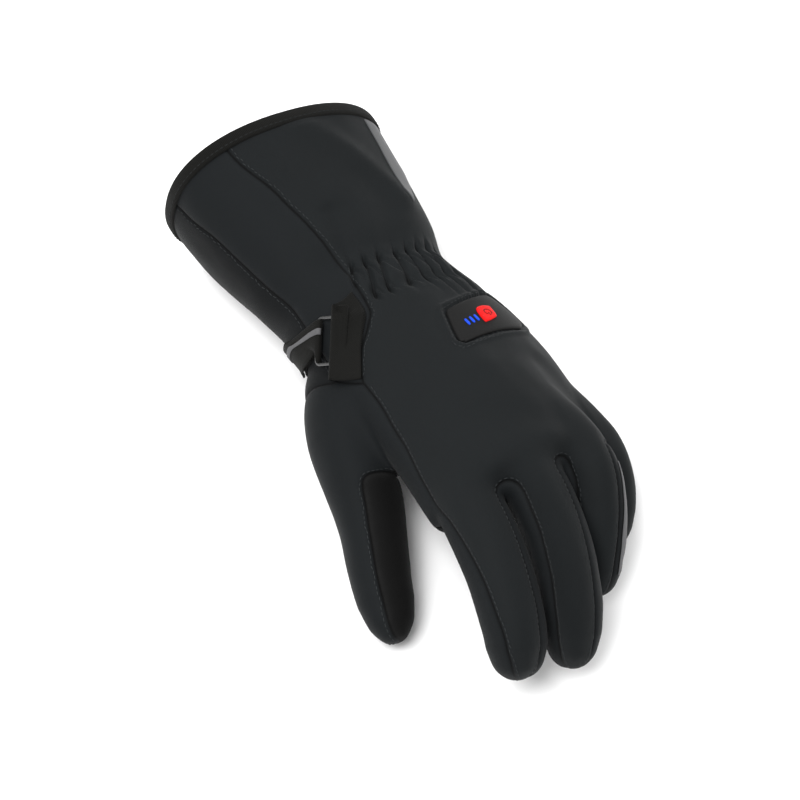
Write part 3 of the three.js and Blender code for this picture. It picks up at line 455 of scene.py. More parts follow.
def raw_form():
    """Closed lofts of the body and the five digits together, and which of the six each face belongs to."""
    end = PALM_LENGTH * BODY_SECTIONS[-1].at
    degrees = np.arange(0, 360, 2.0)
    lengths = np.linspace(CUFF_LENGTH + 6, end, 150)
    rings = [body_points(lengths[:, None], degrees[None])]
    for row in BODY_FRONT:
        ring = body_points(end, degrees, 0.0, row.left)
        ring[:, 1] = end - row.past
        rings.append(ring[None])
    parts = [np.concatenate(rings)]
    along = np.concatenate([np.linspace(0, 0.85, 60), np.linspace(0.86, 1, 14)])
    parts += [digit_points(name, along, np.arange(0, 360, 9.0)) for name in DIGITS]
    vertices, faces, owner = [], [], []
    for number, part in enumerate(parts):
        points, quads = lofted(part, sum(len(v) for v in vertices))
        vertices.append(points)
        faces += quads
        owner += [number] * len(quads)
    return np.concatenate(vertices), faces, np.array(owner)


def merged_form():
    """The lofts as one closed mesh of even small faces, cut open at the hem."""
    vertices, faces, owner = raw_form()
    tree = BVHTree.FromPolygons(vertices.tolist(), faces)
    obj = mesh_object("form", vertices, faces)
    remesh = obj.modifiers.new("merge", "REMESH")
    remesh.mode = "VOXEL"
    remesh.voxel_size = VOXEL * MM
    obj = plain_mesh(obj, "form")
    bm = bmesh.new()
    bm.from_mesh(obj.data)
    hem = Vector((0, CUFF_LENGTH * MM, 0))
    everything = bm.verts[:] + bm.edges[:] + bm.faces[:]
    bmesh.ops.bisect_plane(bm, geom=everything, dist=1e-6, plane_co=hem, plane_no=(0, 1, 0), clear_outer=True)
    bm.faces.ensure_lookup_table()
    middles = np.array([f.calc_center_median() for f in bm.faces]) / MM
    degrees = (body_places(middles)[1] + 180) % 360 - 180
    wrist = (middles[:, 1] > GATHER_ROWS[0] - 22) & (middles[:, 1] < GATHER_ROWS[1] + 16)
    wrist &= (degrees > GATHER_DEGREES[0] - 10) & (degrees < GATHER_DEGREES[1] + 6)
    edges = list({e for i in np.flatnonzero(wrist) for e in bm.faces[i].edges})
    bmesh.ops.subdivide_edges(bm, edges=edges, cuts=1, use_grid_fill=True)
    bmesh.ops.triangulate(bm, faces=[f for f in bm.faces if len(f.verts) > 4])
    bm.to_mesh(obj.data)
    bm.free()
    points = np.array([v.co for v in obj.data.vertices], float) / MM
    loops = [tuple(p.vertices) for p in obj.data.polygons]
    bpy.data.objects.remove(obj)
    owners = np.array([owner[tree.find_nearest(p)[2]] for p in points.tolist()])
    return points, loops, owners


class Skin:
    """The glove's outer surface: its points, faces, edges and the faces on both sides of each edge."""

    def __init__(self, points, faces):
        self.points = points
        self.faces = faces
        beside = {}
        for number, face in enumerate(faces):
            for a, b in zip(face, face[1:] + face[:1]):
                beside.setdefault((min(a, b), max(a, b)), []).append(number)
        self.edges = np.array(list(beside))
        self.beside = np.array([(f + f)[:2] if len(f) == 1 else f[:2] for f in beside.values()])
        self.open = np.array([len(f) == 1 for f in beside.values()])

    def relaxed(self, points, rounds, share=0.5, back=0.0, edges=None):
        """Points moved towards their neighbours' middles; share may differ from point to point."""
        edges = self.edges if edges is None else edges
        a, b = edges.T
        size = len(points)
        count = np.maximum(np.bincount(a, minlength=size) + np.bincount(b, minlength=size), 1)[:, None]
        share = np.broadcast_to(np.asarray(share, float), (size,))[:, None]
        for turn in range(rounds * (2 if back else 1)):
            sums = [np.bincount(a, points[b, k], size) + np.bincount(b, points[a, k], size) for k in range(3)]
            weight = -share * back if back and turn % 2 else share
            moved = np.bincount(edges.ravel(), minlength=size)[:, None] > 0
            points = np.where(moved, points + weight * (np.stack(sums, 1) / count - points), points)
        return points

    def normals(self, points):
        """Smooth outward directions at the points."""
        corners = np.array([face + face[2:3] if len(face) == 3 else face for face in self.faces])
        p = points[corners]
        area = np.cross(p[:, 2] - p[:, 0], p[:, 3] - p[:, 1])
        short = corners[:, 2] == corners[:, 3]
        area[short] = np.cross(p[short, 1] - p[short, 0], p[short, 2] - p[short, 0])
        out = np.zeros_like(points)
        for k in range(3):
            for c in range(4):
                use = slice(None) if c < 3 else ~short
                out[:, k] += np.bincount(corners[use, c], area[use, k], len(points))
        return out / np.maximum(np.linalg.norm(out, axis=1, keepdims=True), 1e-12)


def nearness(points, targets, reach):
    """1 at the targets, falling smoothly to 0 at the reach, and each point's distance."""
    tree = KDTree(len(targets))
    for number, target in enumerate(targets.tolist()):
        tree.insert(target, number)
    tree.balance()
    distance = np.array([tree.find(p)[2] for p in points.tolist()])
    near = np.clip(1 - distance / reach, 0, 1)
    return near ** 2 * (3 - 2 * near), distance


def panel_labels(skin):
    """Which panel of the frame each face belongs to, as a number in PANELS."""
    vertices, triangles, label = [], [], []
    for number, name in enumerate(PANELS):
        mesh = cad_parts[name].data
        start = len(vertices)
        vertices += [np.array(v.co) / MM - SHIFT for v in mesh.vertices]
        for polygon in mesh.polygons:
            triangles.append([start + v for v in polygon.vertices])
            label.append(number)
    tree = BVHTree.FromPolygons([tuple(v) for v in vertices], triangles)
    label = np.array(label)
    middles = np.array([skin.points[list(face)].mean(0) for face in skin.faces])
    labels = np.array([label[tree.find_nearest(p)[2]] for p in middles.tolist()])
    for _ in range(10):
        votes = np.zeros((len(labels), len(PANELS)))
        votes[np.arange(len(labels)), labels] = 1.5
        for k in (0, 1):
            np.add.at(votes, (skin.beside[:, k], labels[skin.beside[:, 1 - k]]), 1.0)
        labels = votes.argmax(1)
    return labels


def seam_edges(skin, labels):
    """Edges between two panels, with the pair of panels that they part."""
    pair = labels[skin.beside]
    parted = (pair[:, 0] != pair[:, 1]) & ~skin.open
    return skin.edges[parted], np.sort(pair[parted], 1)


def draw_seams(skin, labels):
    """Moves the points so that each seam is an even line on the surface."""
    edges, _ = seam_edges(skin, labels)
    surface = BVHTree.FromPolygons(skin.points.tolist(), skin.faces)
    hem = skin.points[:, 1] > CUFF_LENGTH - 0.01
    points = skin.points.copy()
    on_seam = np.zeros(len(points), bool)
    on_seam[edges.ravel()] = True
    for _ in range(5):
        points = skin.relaxed(points, 12, 0.5, edges=edges)
        points[hem, 1] = skin.points[hem, 1]
        for i in np.flatnonzero(on_seam):
            points[i] = surface.find_nearest(points[i].tolist())[0]
    near, _ = nearness(points, points[on_seam], 6.0)
    loose = np.where(on_seam | hem, 0.0, 0.5 * (near > 0))
    points = skin.relaxed(points, 6, loose)
    for i in np.flatnonzero((near > 0) & ~on_seam & ~hem):
        points[i] = surface.find_nearest(points[i].tolist())[0]
    skin.points = points


def made_skin():
    """The merged form, evened out where the digits join the body and at their tips."""
    points, faces, owners = merged_form()
    skin = Skin(points, faces)
    hem = points[:, 1] > CUFF_LENGTH - 0.01
    points = skin.relaxed(points, 6, np.where(hem, 0, 0.5), back=1.04)
    owner_pair = owners[skin.edges]
    joins = points[skin.edges[owner_pair[:, 0] != owner_pair[:, 1]].ravel()]
    near, _ = nearness(points, joins, JOIN_REACH)
    points = skin.relaxed(points, 14, np.where(hem, 0, 0.5 * near))
    wide, _ = nearness(points, joins, TOP_JOIN_REACH)
    top = np.clip(skin.normals(points)[:, 2] * 2 - 0.6, 0, 1)
    top = skin.relaxed(np.repeat(top[:, None], 3, 1), 10)[:, 0]
    points = skin.relaxed(points, 70, np.where(hem, 0, 0.5 * wide * top))
    tips = np.array([digit_line(name)[0][-1] for name in DIGITS])
    near_tip, _ = nearness(points, tips, TIP_ROUNDING)
    points = skin.relaxed(points, 60, 0.5 * near_tip)
    points[:, 2] = np.maximum(points[:, 2], 0)
    skin.points = points
    skin.owners = owners
    return skin


def smooth_closed(outline, count):
    """Even points on a smooth closed line through an outline's points."""
    p = np.array(outline, float)
    t = np.linspace(0, len(p), count, endpoint=False)
    i = t.astype(int)
    f = (t - i)[:, None]
    a, b, c, d = (p[(i + k) % len(p)] for k in (-1, 0, 1, 2))
    return b + 0.5 * f * (c - a + f * (2 * a - 5 * b + 4 * c - d + f * (3 * (b - c) + d - a)))


def cornered(outline, count):
    """Even points on a closed line with straight sides."""
    p = np.array(list(outline) + [outline[0]], float)
    at = np.linspace(0, len(p) - 1, count, endpoint=False)
    return np.stack([np.interp(at, np.arange(len(p)), p[:, k]) for k in range(2)], 1)


def smooth_open(rows, count):
    """Even rows on a smooth open line through given rows."""
    p = np.array(rows, float)
    t = np.linspace(0, len(p) - 1, count)
    i = np.minimum(t.astype(int), len(p) - 2)
    f = (t - i).reshape((-1,) + (1,) * (p.ndim - 1))
    a, b, c, d = (p[np.clip(i + k, 0, len(p) - 1)] for k in (-1, 0, 1, 2))
    return b + 0.5 * f * (c - a + f * (2 * a - 5 * b + 4 * c - d + f * (3 * (b - c) + d - a)))


def running(points):
    """Distance run along a line at each of its points."""
    return np.concatenate([[0], np.cumsum(np.linalg.norm(np.diff(points, axis=0), axis=1))])


def smooth_line(points, rounds):
    """The line with its points moved towards their neighbours, apart from its ends."""
    for _ in range(rounds):
        points[1:-1] = 0.5 * points[1:-1] + 0.25 * (points[:-2] + points[2:])
    return points


class Glove:
    """What sewing the panels leaves for the later operators: the sewn surface and its seams."""

    labels = None
    moved = None
    normals = None
    tree = None
    bare_tree = None
    edges = None
    pairs = None


def above_skin(points, clearance):
    """The points, raised where they lie less than the clearance above the sewn fabric."""
    shape = points.shape
    out = points.reshape(-1, 3).copy()
    need = np.broadcast_to(clearance, shape[:-1]).ravel()
    for i, p in enumerate(out):
        place, normal, _, _ = Glove.tree.find_nearest(Vector(p))
        height = (Vector(p) - place).dot(normal)
        if height < need[i]:
            out[i] += np.array(normal) * (need[i] - height)
    return out.reshape(shape)


def on_bare_skin(frame_axes, across, forward):
    """The points straight over places of a flat frame, on the fabric as it is without folds."""
    origin, side, along, out = frame_axes
    points = []
    for a, f in zip(np.ravel(across), np.ravel(forward)):
        start = origin + side * a + along * f + out * 25
        hit = Glove.bare_tree.ray_cast(Vector(start), Vector(-out))[0]
        points.append(np.array(hit) if hit else start - out * 25)
    return np.array(points).reshape(np.shape(across) + (3,))


def place_on(place, slant=0.0):
    """A flat frame on the body: its origin, the way across, the way forward and the way out."""
    y = length_of(place[0])
    origin = body_points(y, place[1])
    out = body_normals(np.asarray(y), np.asarray(float(place[1])))
    forward = np.array([0, -1.0, 0]) + out * out[1]
    forward /= np.linalg.norm(forward)
    across = np.cross(out, forward)
    turn = math.radians(slant)
    return (origin, across * math.cos(turn) - forward * math.sin(turn),
            forward * math.cos(turn) + across * math.sin(turn), out)


def pad_distance(points):
    """Distance of points from the control pad's outline, negative under the pad, far away off its plane."""
    origin, across, along, out = place_on(PAD_PLACE)
    outline = smooth_closed(PAD_OUTLINE, 160) * PAD_SIZE
    local = points - origin
    flat = np.stack([local @ across, local @ along], 1)
    height = local @ out
    distance = np.full(len(points), 50.0)
    near = (np.linalg.norm(flat, axis=1) < 45) & (height > -14) & (height < 14)
    gap = np.linalg.norm(flat[near][:, None] - outline[None], axis=2)
    nearest = gap.argmin(1)
    run = np.roll(outline, -1, 0) - np.roll(outline, 1, 0)
    beside = flat[near] - outline[nearest]
    turn = np.sign(run[nearest, 0] * beside[:, 1] - run[nearest, 1] * beside[:, 0])
    area = np.sum(outline[:, 0] * np.roll(outline[:, 1], -1) - outline[:, 1] * np.roll(outline[:, 0], -1))
    distance[near] = gap.min(1) * -turn * np.sign(area)
    return distance


def wrinkle(points, size, seed):
    """Gentle noise between -1 and 1 with waves about the size long, drawn out along the glove."""
    spread = points * (1.0, 0.6, 1.0) / size
    return np.array([noise.noise((p[0] + seed, p[1], p[2])) for p in spread.tolist()]) * 1.6


def sewn_surface(skin, seam_points, gusset, sewing):
    """The skin's points with seams, padding, folds, gathers and wrinkles, and a mask of the dark seam lines
    and of the painted shade in the gathers' creases.
    """
    points = skin.points
    body = skin.relaxed(np.repeat((skin.owners == 0).astype(float)[:, None], 3, 1), 8)[:, 0]
    _, distance = nearness(points, seam_points, 1.0)

    def near_seam(reach):
        return np.exp(-(distance / reach) ** 2)

    tips = np.array([digit_line(name)[0][-1] for name in DIGITS])
    from_tip = np.linalg.norm(points[:, None] - tips[None], axis=2).min(1)
    dip = -sewing.seam_depth / MM * (0.7 * near_seam(1.0) + 0.3 * near_seam(4.0))
    dip *= np.clip((from_tip - 7) / 10, 0.2, 1)
    soft = 1 - near_seam(6.0)
    folds = fold_relief(points) * body * (0.4 + 0.6 * soft)
    gathers, crease_shade = (part * body for part in gather_relief(points))
    small = (0.4 * wrinkle(points, 26, 3) + 0.17 * wrinkle(points, 10, 11)) * soft
    puff = 0.3 * (1 - near_seam(9.0)) + 0.96 * gusset * (1 - near_seam(3.5))
    edge = pad_distance(points)
    groove = -1.1 * np.exp(-((edge - 0.5) / 0.9) ** 2) + 0.9 * np.exp(-((edge - 3.3) / 1.3) ** 2)
    under_pad = np.clip((2.5 - edge) / 3, 0, 1)
    lift = (dip + folds + gathers + small + puff) * (1 - under_pad) + groove
    hem = np.clip((CUFF_LENGTH - 3 - points[:, 1]) / 8, 0, 1)
    moved = points + skin.normals(points) * (lift * hem)[:, None]
    moved[:, 2] = np.maximum(moved[:, 2], binding_lift(points[:, 1]))
    moved[:, 1] = np.where(hem > 0, moved[:, 1], points[:, 1])
    # The mask is near 1 at the seams, for dark seam lines, and in the gathers' creases, for painted shade.
    return moved, np.maximum(np.exp(-distance / 1.6), 0.97 * crease_shade)


def flat_uvs(obj):
    """Unwraps the whole mesh into its UV map."""
    bpy.context.view_layer.objects.active = obj
    bpy.ops.object.mode_set(mode="EDIT")
    bpy.ops.mesh.select_all(action="SELECT")
    bpy.ops.uv.unwrap(method="CONFORMAL", margin=0.0)
    bpy.ops.object.mode_set(mode="OBJECT")


def panel_object(name, skin, face_numbers, moved, inner, seam_line_and_crease_shade):
    """One panel with its outer and inner side and a wall all round its edge."""
    faces = [skin.faces[i] for i in face_numbers]
    used = sorted({v for face in faces for v in face})
    number = {v: i for i, v in enumerate(used)}
    outer_faces = [tuple(number[v] for v in face) for face in faces]
    sheet = mesh_object(name, moved[used] + SHIFT, outer_faces)
    sheet.data.uv_layers.new(name="weave")
    flat_uvs(sheet)
    corners = np.empty(len(sheet.data.loops), int)
    sheet.data.loops.foreach_get("vertex_index", corners)
    uv = np.empty(len(corners) * 2)
    sheet.data.uv_layers["weave"].data.foreach_get("uv", uv)
    place = np.zeros((len(used), 2))
    place[corners] = uv.reshape(-1, 2)
    a, b = np.array([e.vertices for e in sheet.data.edges]).T
    true = np.linalg.norm(moved[used][a] - moved[used][b], axis=1)
    flat = np.maximum(np.linalg.norm(place[a] - place[b], axis=1), 1e-9)
    place *= np.median(true / flat)
    bpy.data.objects.remove(sheet)
    count = len(used)
    border = {}
    for face in outer_faces:
        for p, q in zip(face, face[1:] + face[:1]):
            border[(p, q)] = border.get((p, q), 0) + 1
    rim = [(p, q) for p, q in border if (q, p) not in border]
    all_faces = outer_faces + [tuple(v + count for v in reversed(face)) for face in outer_faces]
    all_faces += [(q, p, p + count, q + count) for p, q in rim]
    vertices = np.concatenate([moved[used], inner[used]]) + SHIFT
    obj = mesh_object(name, vertices, all_faces, np.concatenate([place, place]))
    mesh = obj.data
    # This attribute carries the seam lines and also the painted shade in the gathers' creases.
    near = mesh.attributes.new("seam_line_and_crease_shade", "FLOAT", "POINT")
    near.data.foreach_set("value", np.tile(seam_line_and_crease_shade[used], 2))
    pairs = {tuple(sorted(e)) for p, q in rim for e in ((p, q), (p + count, q + count))}
    sharp = [tuple(sorted(e.vertices)) in pairs for e in mesh.edges]
    mesh.attributes.new("sharp_edge", "BOOLEAN", "EDGE").data.foreach_set("value", sharp)
    inside = [0] * len(outer_faces) + [1] * (len(outer_faces) + len(rim))
    mesh.polygons.foreach_set("material_index", inside)
    return obj


def dressed(obj, nodes, slot, *materials):
    """Gives a finished piece its materials, its body and the nodes that it stands for; slot is not used."""
    obj.data.materials.clear()
    for material in materials:
        obj.data.materials.append(material)
    obj.data.update()
    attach(obj, "root")
    if nodes:
        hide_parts(*nodes)
    return obj


def ribbon(name, points, outs, thickness, rounding=0.45):
    """A closed band through stations of points across it, each point with its way out."""
    across = points[:, -1] - points[:, 0]
    across /= np.linalg.norm(across, axis=-1, keepdims=True)
    half = thickness / 2
    width = np.linalg.norm(points[0, -1] - points[0, 0])
    shares = np.linspace(0, 1, points.shape[1])
    top = points + outs * half
    low = points - outs * half
    edge = rounding * thickness
    right = points[:, -1] + across * edge
    left = points[:, 0] - across * edge
    ring = np.concatenate([top, right[:, None], low[:, ::-1], left[:, None]], 1)
    u = np.concatenate([shares * width, [width + edge], shares[::-1] * width, [-edge]])
    v = running(points.mean(1))
    vertices, faces = lofted(ring)
    uvs = np.stack(np.broadcast_arrays(u[None], v[:, None]), -1).reshape(-1, 2)
    uvs = np.concatenate([uvs, [[width / 2, v[0]], [width / 2, v[-1]]]])
    return mesh_object(name, vertices + SHIFT, faces, uvs)


def domed_plate(name, outline, surface, height, edge=0.8, inset=0.35, rings=9, wall=0.8):
    """A plate over an outline: surface(flat places) gives the points below it and the ways out there."""
    centre = outline.mean(0)
    size = np.mean(np.linalg.norm(outline - centre, axis=1))
    steps = [(1.0, -wall), (1.0, height - edge), (1 - 0.3 * inset * edge / size, height - 0.45 * edge),
             (1 - inset * 2.2 * edge / size, height - 0.12 * edge), (1 - inset * 4.5 * edge / size, height)]
    steps += [(s, height) for s in np.linspace(steps[-1][0], 0.05, rings)[1:]]
    layers, uvs = [], []
    for scale, up in steps:
        flat = centre + (outline - centre) * scale
        base, out = surface(flat)
        layers.append(base + out * up)
        uvs.append(flat)
    vertices, faces = lofted(np.array(layers))
    uvs = np.concatenate([np.concatenate(uvs), [centre, centre]])
    return outward(mesh_object(name, vertices + SHIFT, faces, uvs))


def seam_chains(edges, pairs, pair):
    """The seam between two panels as ordered lines of point numbers."""
    wanted = edges[(pairs == sorted(pair)).all(1)]
    beside = {}
    for a, b in wanted.tolist():
        beside.setdefault(a, []).append(b)
        beside.setdefault(b, []).append(a)
    chains = []
    while beside:
        start = next((p for p, n in beside.items() if len(n) != 2), next(iter(beside)))
        line = [start]
        while beside.get(line[-1]):
            here = line[-1]
            following = beside[here].pop()
            beside[following].remove(here)
            if not beside[here]:
                del beside[here]
            line.append(following)
        beside.pop(line[-1], None)
        if len(line) > 12:
            chains.append(line)
    return chains


def beside_seam(chain, panel, offset):
    """A line on the sewn fabric beside a seam, on one panel's side of it."""
    points = smooth_line(Glove.moved[chain], 8)
    run = np.gradient(points, axis=0)
    run /= np.linalg.norm(run, axis=1, keepdims=True) + 1e-9
    ways = np.cross(run, Glove.normals[chain])
    line = []
    for side in (1, -1):
        probe = [Glove.tree.find_nearest(Vector(p))[2] for p in points + ways * offset * side]
        line.append(np.mean(Glove.labels[probe] == PANELS.index(panel)))
    ways *= offset if line[0] >= line[1] else -offset
    placed = [Glove.tree.find_nearest(Vector(p)) for p in points + ways]
    return np.array([np.array(hit[0]) + 0.14 * np.array(hit[1]) for hit in placed])


def stitch_tree():
    """Geometry nodes that set a row of stitches along a line."""
    tree = bpy.data.node_groups.new("Stitch row", "GeometryNodeTree")
    face = tree.interface
    face.new_socket("Line", in_out="INPUT", socket_type="NodeSocketGeometry")
    for name in ("Spacing", "Length", "Thickness"):
        face.new_socket(name, in_out="INPUT", socket_type="NodeSocketFloat")
    face.new_socket("Thread", in_out="INPUT", socket_type="NodeSocketMaterial")
    face.new_socket("Stitches", in_out="OUTPUT", socket_type="NodeSocketGeometry")
    given = tree.nodes.new("NodeGroupInput").outputs
    spots = node(tree, "GeometryNodeCurveToPoints",
                 {"Curve": given["Line"], "Length": given["Spacing"]}, mode="LENGTH")
    ball = node(tree, "GeometryNodeMeshUVSphere", {"Segments": 6, "Rings": 5, "Radius": 0.5})
    size = node(tree, "ShaderNodeCombineXYZ",
                {"X": given["Thickness"], "Y": given["Thickness"], "Z": given["Length"]})
    one = node(tree, "GeometryNodeTransform", {"Geometry": ball.outputs["Mesh"], "Scale": size.outputs[0]})
    row = node(tree, "GeometryNodeInstanceOnPoints",
               {"Points": spots.outputs["Points"], "Instance": one.outputs[0],
                "Rotation": spots.outputs["Rotation"]})
    real = node(tree, "GeometryNodeRealizeInstances", {"Geometry": row.outputs[0]})
    soft = node(tree, "GeometryNodeSetShadeSmooth", {"Geometry": real.outputs[0]})
    thread = node(tree, "GeometryNodeSetMaterial",
                  {"Geometry": soft.outputs[0], "Material": given["Thread"]})
    last = tree.nodes.new("NodeGroupOutput")
    tree.links.new(thread.outputs[0], last.inputs["Stitches"])
    return tree


def stitch_rows(name, lines, sewing, thread):
    """One plain mesh with a stitch row along each line."""
    curve = bpy.data.curves.new(name, "CURVE")
    curve.dimensions = "3D"
    for line in lines:
        line[:, 2] = np.maximum(line[:, 2], STITCH_FLOOR)
        spline = curve.splines.new("POLY")
        spline.points.add(len(line) - 1)
        spline.points.foreach_set("co", np.c_[(line + SHIFT) * MM, np.ones(len(line))].ravel())
    obj = bpy.data.objects.new(name + "_lines", curve)
    bpy.context.collection.objects.link(obj)
    tree = shared("Stitch row", stitch_tree)
    modifier = obj.modifiers.new("stitches", "NODES")
    modifier.node_group = tree
    sockets = {s.name: s.identifier for s in tree.interface.items_tree if s.in_out == "INPUT"}
    modifier[sockets["Spacing"]] = sewing.stitch_spacing
    modifier[sockets["Length"]] = sewing.stitch_length
    modifier[sockets["Thickness"]] = sewing.thread_thickness
    modifier[sockets["Thread"]] = thread
    made = plain_mesh(obj, name)
    bpy.data.curves.remove(curve)
    return dressed(made, [], "softshell_back", thread)


def shared(name, build):
    """A node group, built the first time that it is needed."""
    return bpy.data.node_groups.get(name) or build()


def node(tree, kind, inputs=None, **values):
    """A node with its values set and its inputs linked or filled."""
    made = tree.nodes.new(kind)
    for key, value in values.items():
        setattr(made, key, value)
    for key, value in (inputs or {}).items():
        if isinstance(value, bpy.types.NodeSocket):
            tree.links.new(value, made.inputs[key])
        else:
            made.inputs[key].default_value = value
    return made


def maths(tree, operation, *values):
    """The result of a maths node on numbers or sockets."""
    return node(tree, "ShaderNodeMath", dict(enumerate(values)), operation=operation).outputs[0]


def group(name, inputs, outputs):
    """An empty shader group with float or vector inputs and float or colour outputs."""
    tree = bpy.data.node_groups.new(name, "ShaderNodeTree")
    kinds = {"v": "NodeSocketVector", "f": "NodeSocketFloat", "c": "NodeSocketColor"}
    for label, kind in inputs:
        tree.interface.new_socket(label, in_out="INPUT", socket_type=kinds[kind])
    for label, kind in outputs:
        tree.interface.new_socket(label, in_out="OUTPUT", socket_type=kinds[kind])
    return tree, tree.nodes.new("NodeGroupInput").outputs, tree.nodes.new("NodeGroupOutput").inputs


def weave_group():
    """Crossing threads, as a height, on a UV map in millimetres."""
    tree, given, out = group("Weave", [("Place", "v"), ("Pitch", "f")], [("Height", "f")])
    place = node(tree, "ShaderNodeSeparateXYZ", {0: given["Place"]}).outputs
    turn = maths(tree, "DIVIDE", 2 * math.pi, given["Pitch"])
    across = maths(tree, "SINE", maths(tree, "MULTIPLY", place[0], turn))
    along = maths(tree, "SINE", maths(tree, "MULTIPLY", place[1], turn))
    crossing = maths(tree, "MULTIPLY", across, along)
    tree.links.new(maths(tree, "MULTIPLY_ADD", crossing, 0.5, 0.5), out["Height"])
    return tree


def rib_group():
    """Parallel ribs along a UV map's first way, as a height."""
    tree, given, out = group("Ribs", [("Place", "v"), ("Pitch", "f")], [("Height", "f")])
    place = node(tree, "ShaderNodeSeparateXYZ", {0: given["Place"]}).outputs
    turn = maths(tree, "DIVIDE", math.pi, given["Pitch"])
    wave = maths(tree, "SINE", maths(tree, "MULTIPLY", place[0], turn))
    tree.links.new(maths(tree, "ABSOLUTE", wave), out["Height"])
    return tree


def worn_group():
    """A colour that varies gently over the surface and is lighter where a mask says that it is rubbed."""
    tree, given, out = group("Worn colour",
                             [("Base", "c"), ("Rubbed", "c"), ("Mask", "f"), ("Patch size", "f")],
                             [("Colour", "c"), ("Patches", "f")])
    place = node(tree, "ShaderNodeTexCoord").outputs["Object"]
    large = node(tree, "ShaderNodeTexNoise", {"Vector": place, "Scale": given["Patch size"], "Detail": 3.0})
    fine = node(tree, "ShaderNodeTexNoise", {"Vector": place, "Scale": 900.0, "Detail": 2.0})
    mottle = maths(tree, "ADD", maths(tree, "MULTIPLY", large.outputs[0], 0.7),
                   maths(tree, "MULTIPLY", fine.outputs[0], 0.5))
    tone = mixed(tree, mottle, (0.72, 0.72, 0.72, 1), (1.25, 1.25, 1.25, 1), "MIX")
    tinted = mixed(tree, 1.0, given["Base"], tone, "MULTIPLY")
    rubbed = mixed(tree, given["Mask"], tinted, given["Rubbed"], "MIX")
    tree.links.new(rubbed, out["Colour"])
    tree.links.new(mottle, out["Patches"])
    return tree


def mixed(tree, factor, a, b, blend):
    """Two colours mixed."""
    made = node(tree, "ShaderNodeMix", data_type="RGBA", blend_type=blend)
    sockets = [s for s in made.inputs if s.enabled]
    for socket, value in zip(sockets, (factor, a, b)):
        if isinstance(value, bpy.types.NodeSocket):
            tree.links.new(value, socket)
        else:
            socket.default_value = value
    return [s for s in made.outputs if s.enabled][0]


# How strongly the ridges beside the seams are rubbed, and the colour down in a seam, which is also painted
# into the gathers' creases as shade
WEAR = 0.9
SEAM_LINE_AND_CREASE_SHADE = (0.001, 0.001, 0.001, 1)


def finish(name, colour, rubbed, roughness, pattern=None, pitch=0.6, height=0.1, sheen=0.0, grain=0.03,
           grain_scale=1400.0, metallic=0.0, glow=0.0, gloss=0.08):
    """A material with a worn colour, dark seam lines, painted shade in the gathers' creases, a pattern's bump
    on the UV map and a fine grain.
    """
    material = bpy.data.materials.new(name)
    material.use_nodes = True
    tree = material.node_tree
    tree.nodes.clear()
    shader = node(tree, "ShaderNodeBsdfPrincipled",
                  {"Metallic": metallic, "Sheen Weight": sheen, "Sheen Roughness": 0.45,
                   "Specular IOR Level": gloss})
    node(tree, "ShaderNodeOutputMaterial", {"Surface": shader.outputs[0]})
    place = node(tree, "ShaderNodeTexCoord").outputs["Object"]
    near = node(tree, "ShaderNodeAttribute", attribute_name="seam_line_and_crease_shade").outputs["Fac"]
    patches = node(tree, "ShaderNodeTexNoise", {"Vector": place, "Scale": 160.0, "Detail": 4.0}).outputs[0]
    ridge = maths(tree, "MULTIPLY", near, maths(tree, "SUBTRACT", 1.0, near))
    rubbing = maths(tree, "MULTIPLY", maths(tree, "MULTIPLY", ridge, patches), WEAR)
    worn = node(tree, "ShaderNodeGroup", node_tree=shared("Worn colour", worn_group))
    worn.inputs["Base"].default_value = (*colour, 1)
    worn.inputs["Rubbed"].default_value = (*rubbed, 1)
    worn.inputs["Patch size"].default_value = 22.0
    tree.links.new(rubbing, worn.inputs["Mask"])
    # Dark seam lines, and painted shade where the attribute marks the gathers' creases.
    line = node(tree, "ShaderNodeMapRange",
                {"Value": near, "From Min": 0.5, "From Max": 0.95, "To Max": 0.85}, clamp=True)
    toned = mixed(tree, line.outputs[0], worn.outputs["Colour"], SEAM_LINE_AND_CREASE_SHADE, "MIX")
    tree.links.new(toned, shader.inputs["Base Color"])
    rough = maths(tree, "MULTIPLY_ADD", worn.outputs["Patches"], 0.16, roughness - 0.08)
    tree.links.new(rough, shader.inputs["Roughness"])
    if glow:
        tree.links.new(worn.outputs["Colour"], shader.inputs["Emission Color"])
        shader.inputs["Emission Strength"].default_value = glow
    bumps = node(tree, "ShaderNodeTexNoise", {"Vector": place, "Scale": grain_scale, "Detail": 3.0})
    total = maths(tree, "MULTIPLY", bumps.outputs[0], grain)
    if pattern:
        woven = node(tree, "ShaderNodeGroup", node_tree=shared(*pattern))
        tree.links.new(node(tree, "ShaderNodeUVMap", uv_map="weave").outputs[0], woven.inputs["Place"])
        woven.inputs["Pitch"].default_value = pitch
        total = maths(tree, "MULTIPLY_ADD", woven.outputs["Height"], height, total)
    bump = node(tree, "ShaderNodeBump", {"Height": total, "Strength": 1.0, "Distance": 0.001})
    tree.links.new(bump.outputs[0], shader.inputs["Normal"])
    return material


WEAVE = ("Weave", weave_group)
RIBS = ("Ribs", rib_group)
PANEL_SLOTS = {
    "back_panel": "softshell_back",
    "cuff_side_panel": "softshell_side",
    "cuff_under_panel": "softshell_under",
    "thumb_side_panel": "softshell_side",
    "thumb_inner_panel": "suede_palm",
    "palm_panel": "suede_palm",
    "fourchette_index": "softshell_gusset",
    "fourchette_middle": "softshell_gusset",
    "fourchette_ring": "softshell_gusset",
}


def softshell(name, colour):
    """Woven softshell in a colour, paler where it is rubbed."""
    light = tuple(c * 1.8 + 0.003 for c in colour)
    return finish(name, colour, light, 0.66, WEAVE, 0.55, 0.05, sheen=0.025)


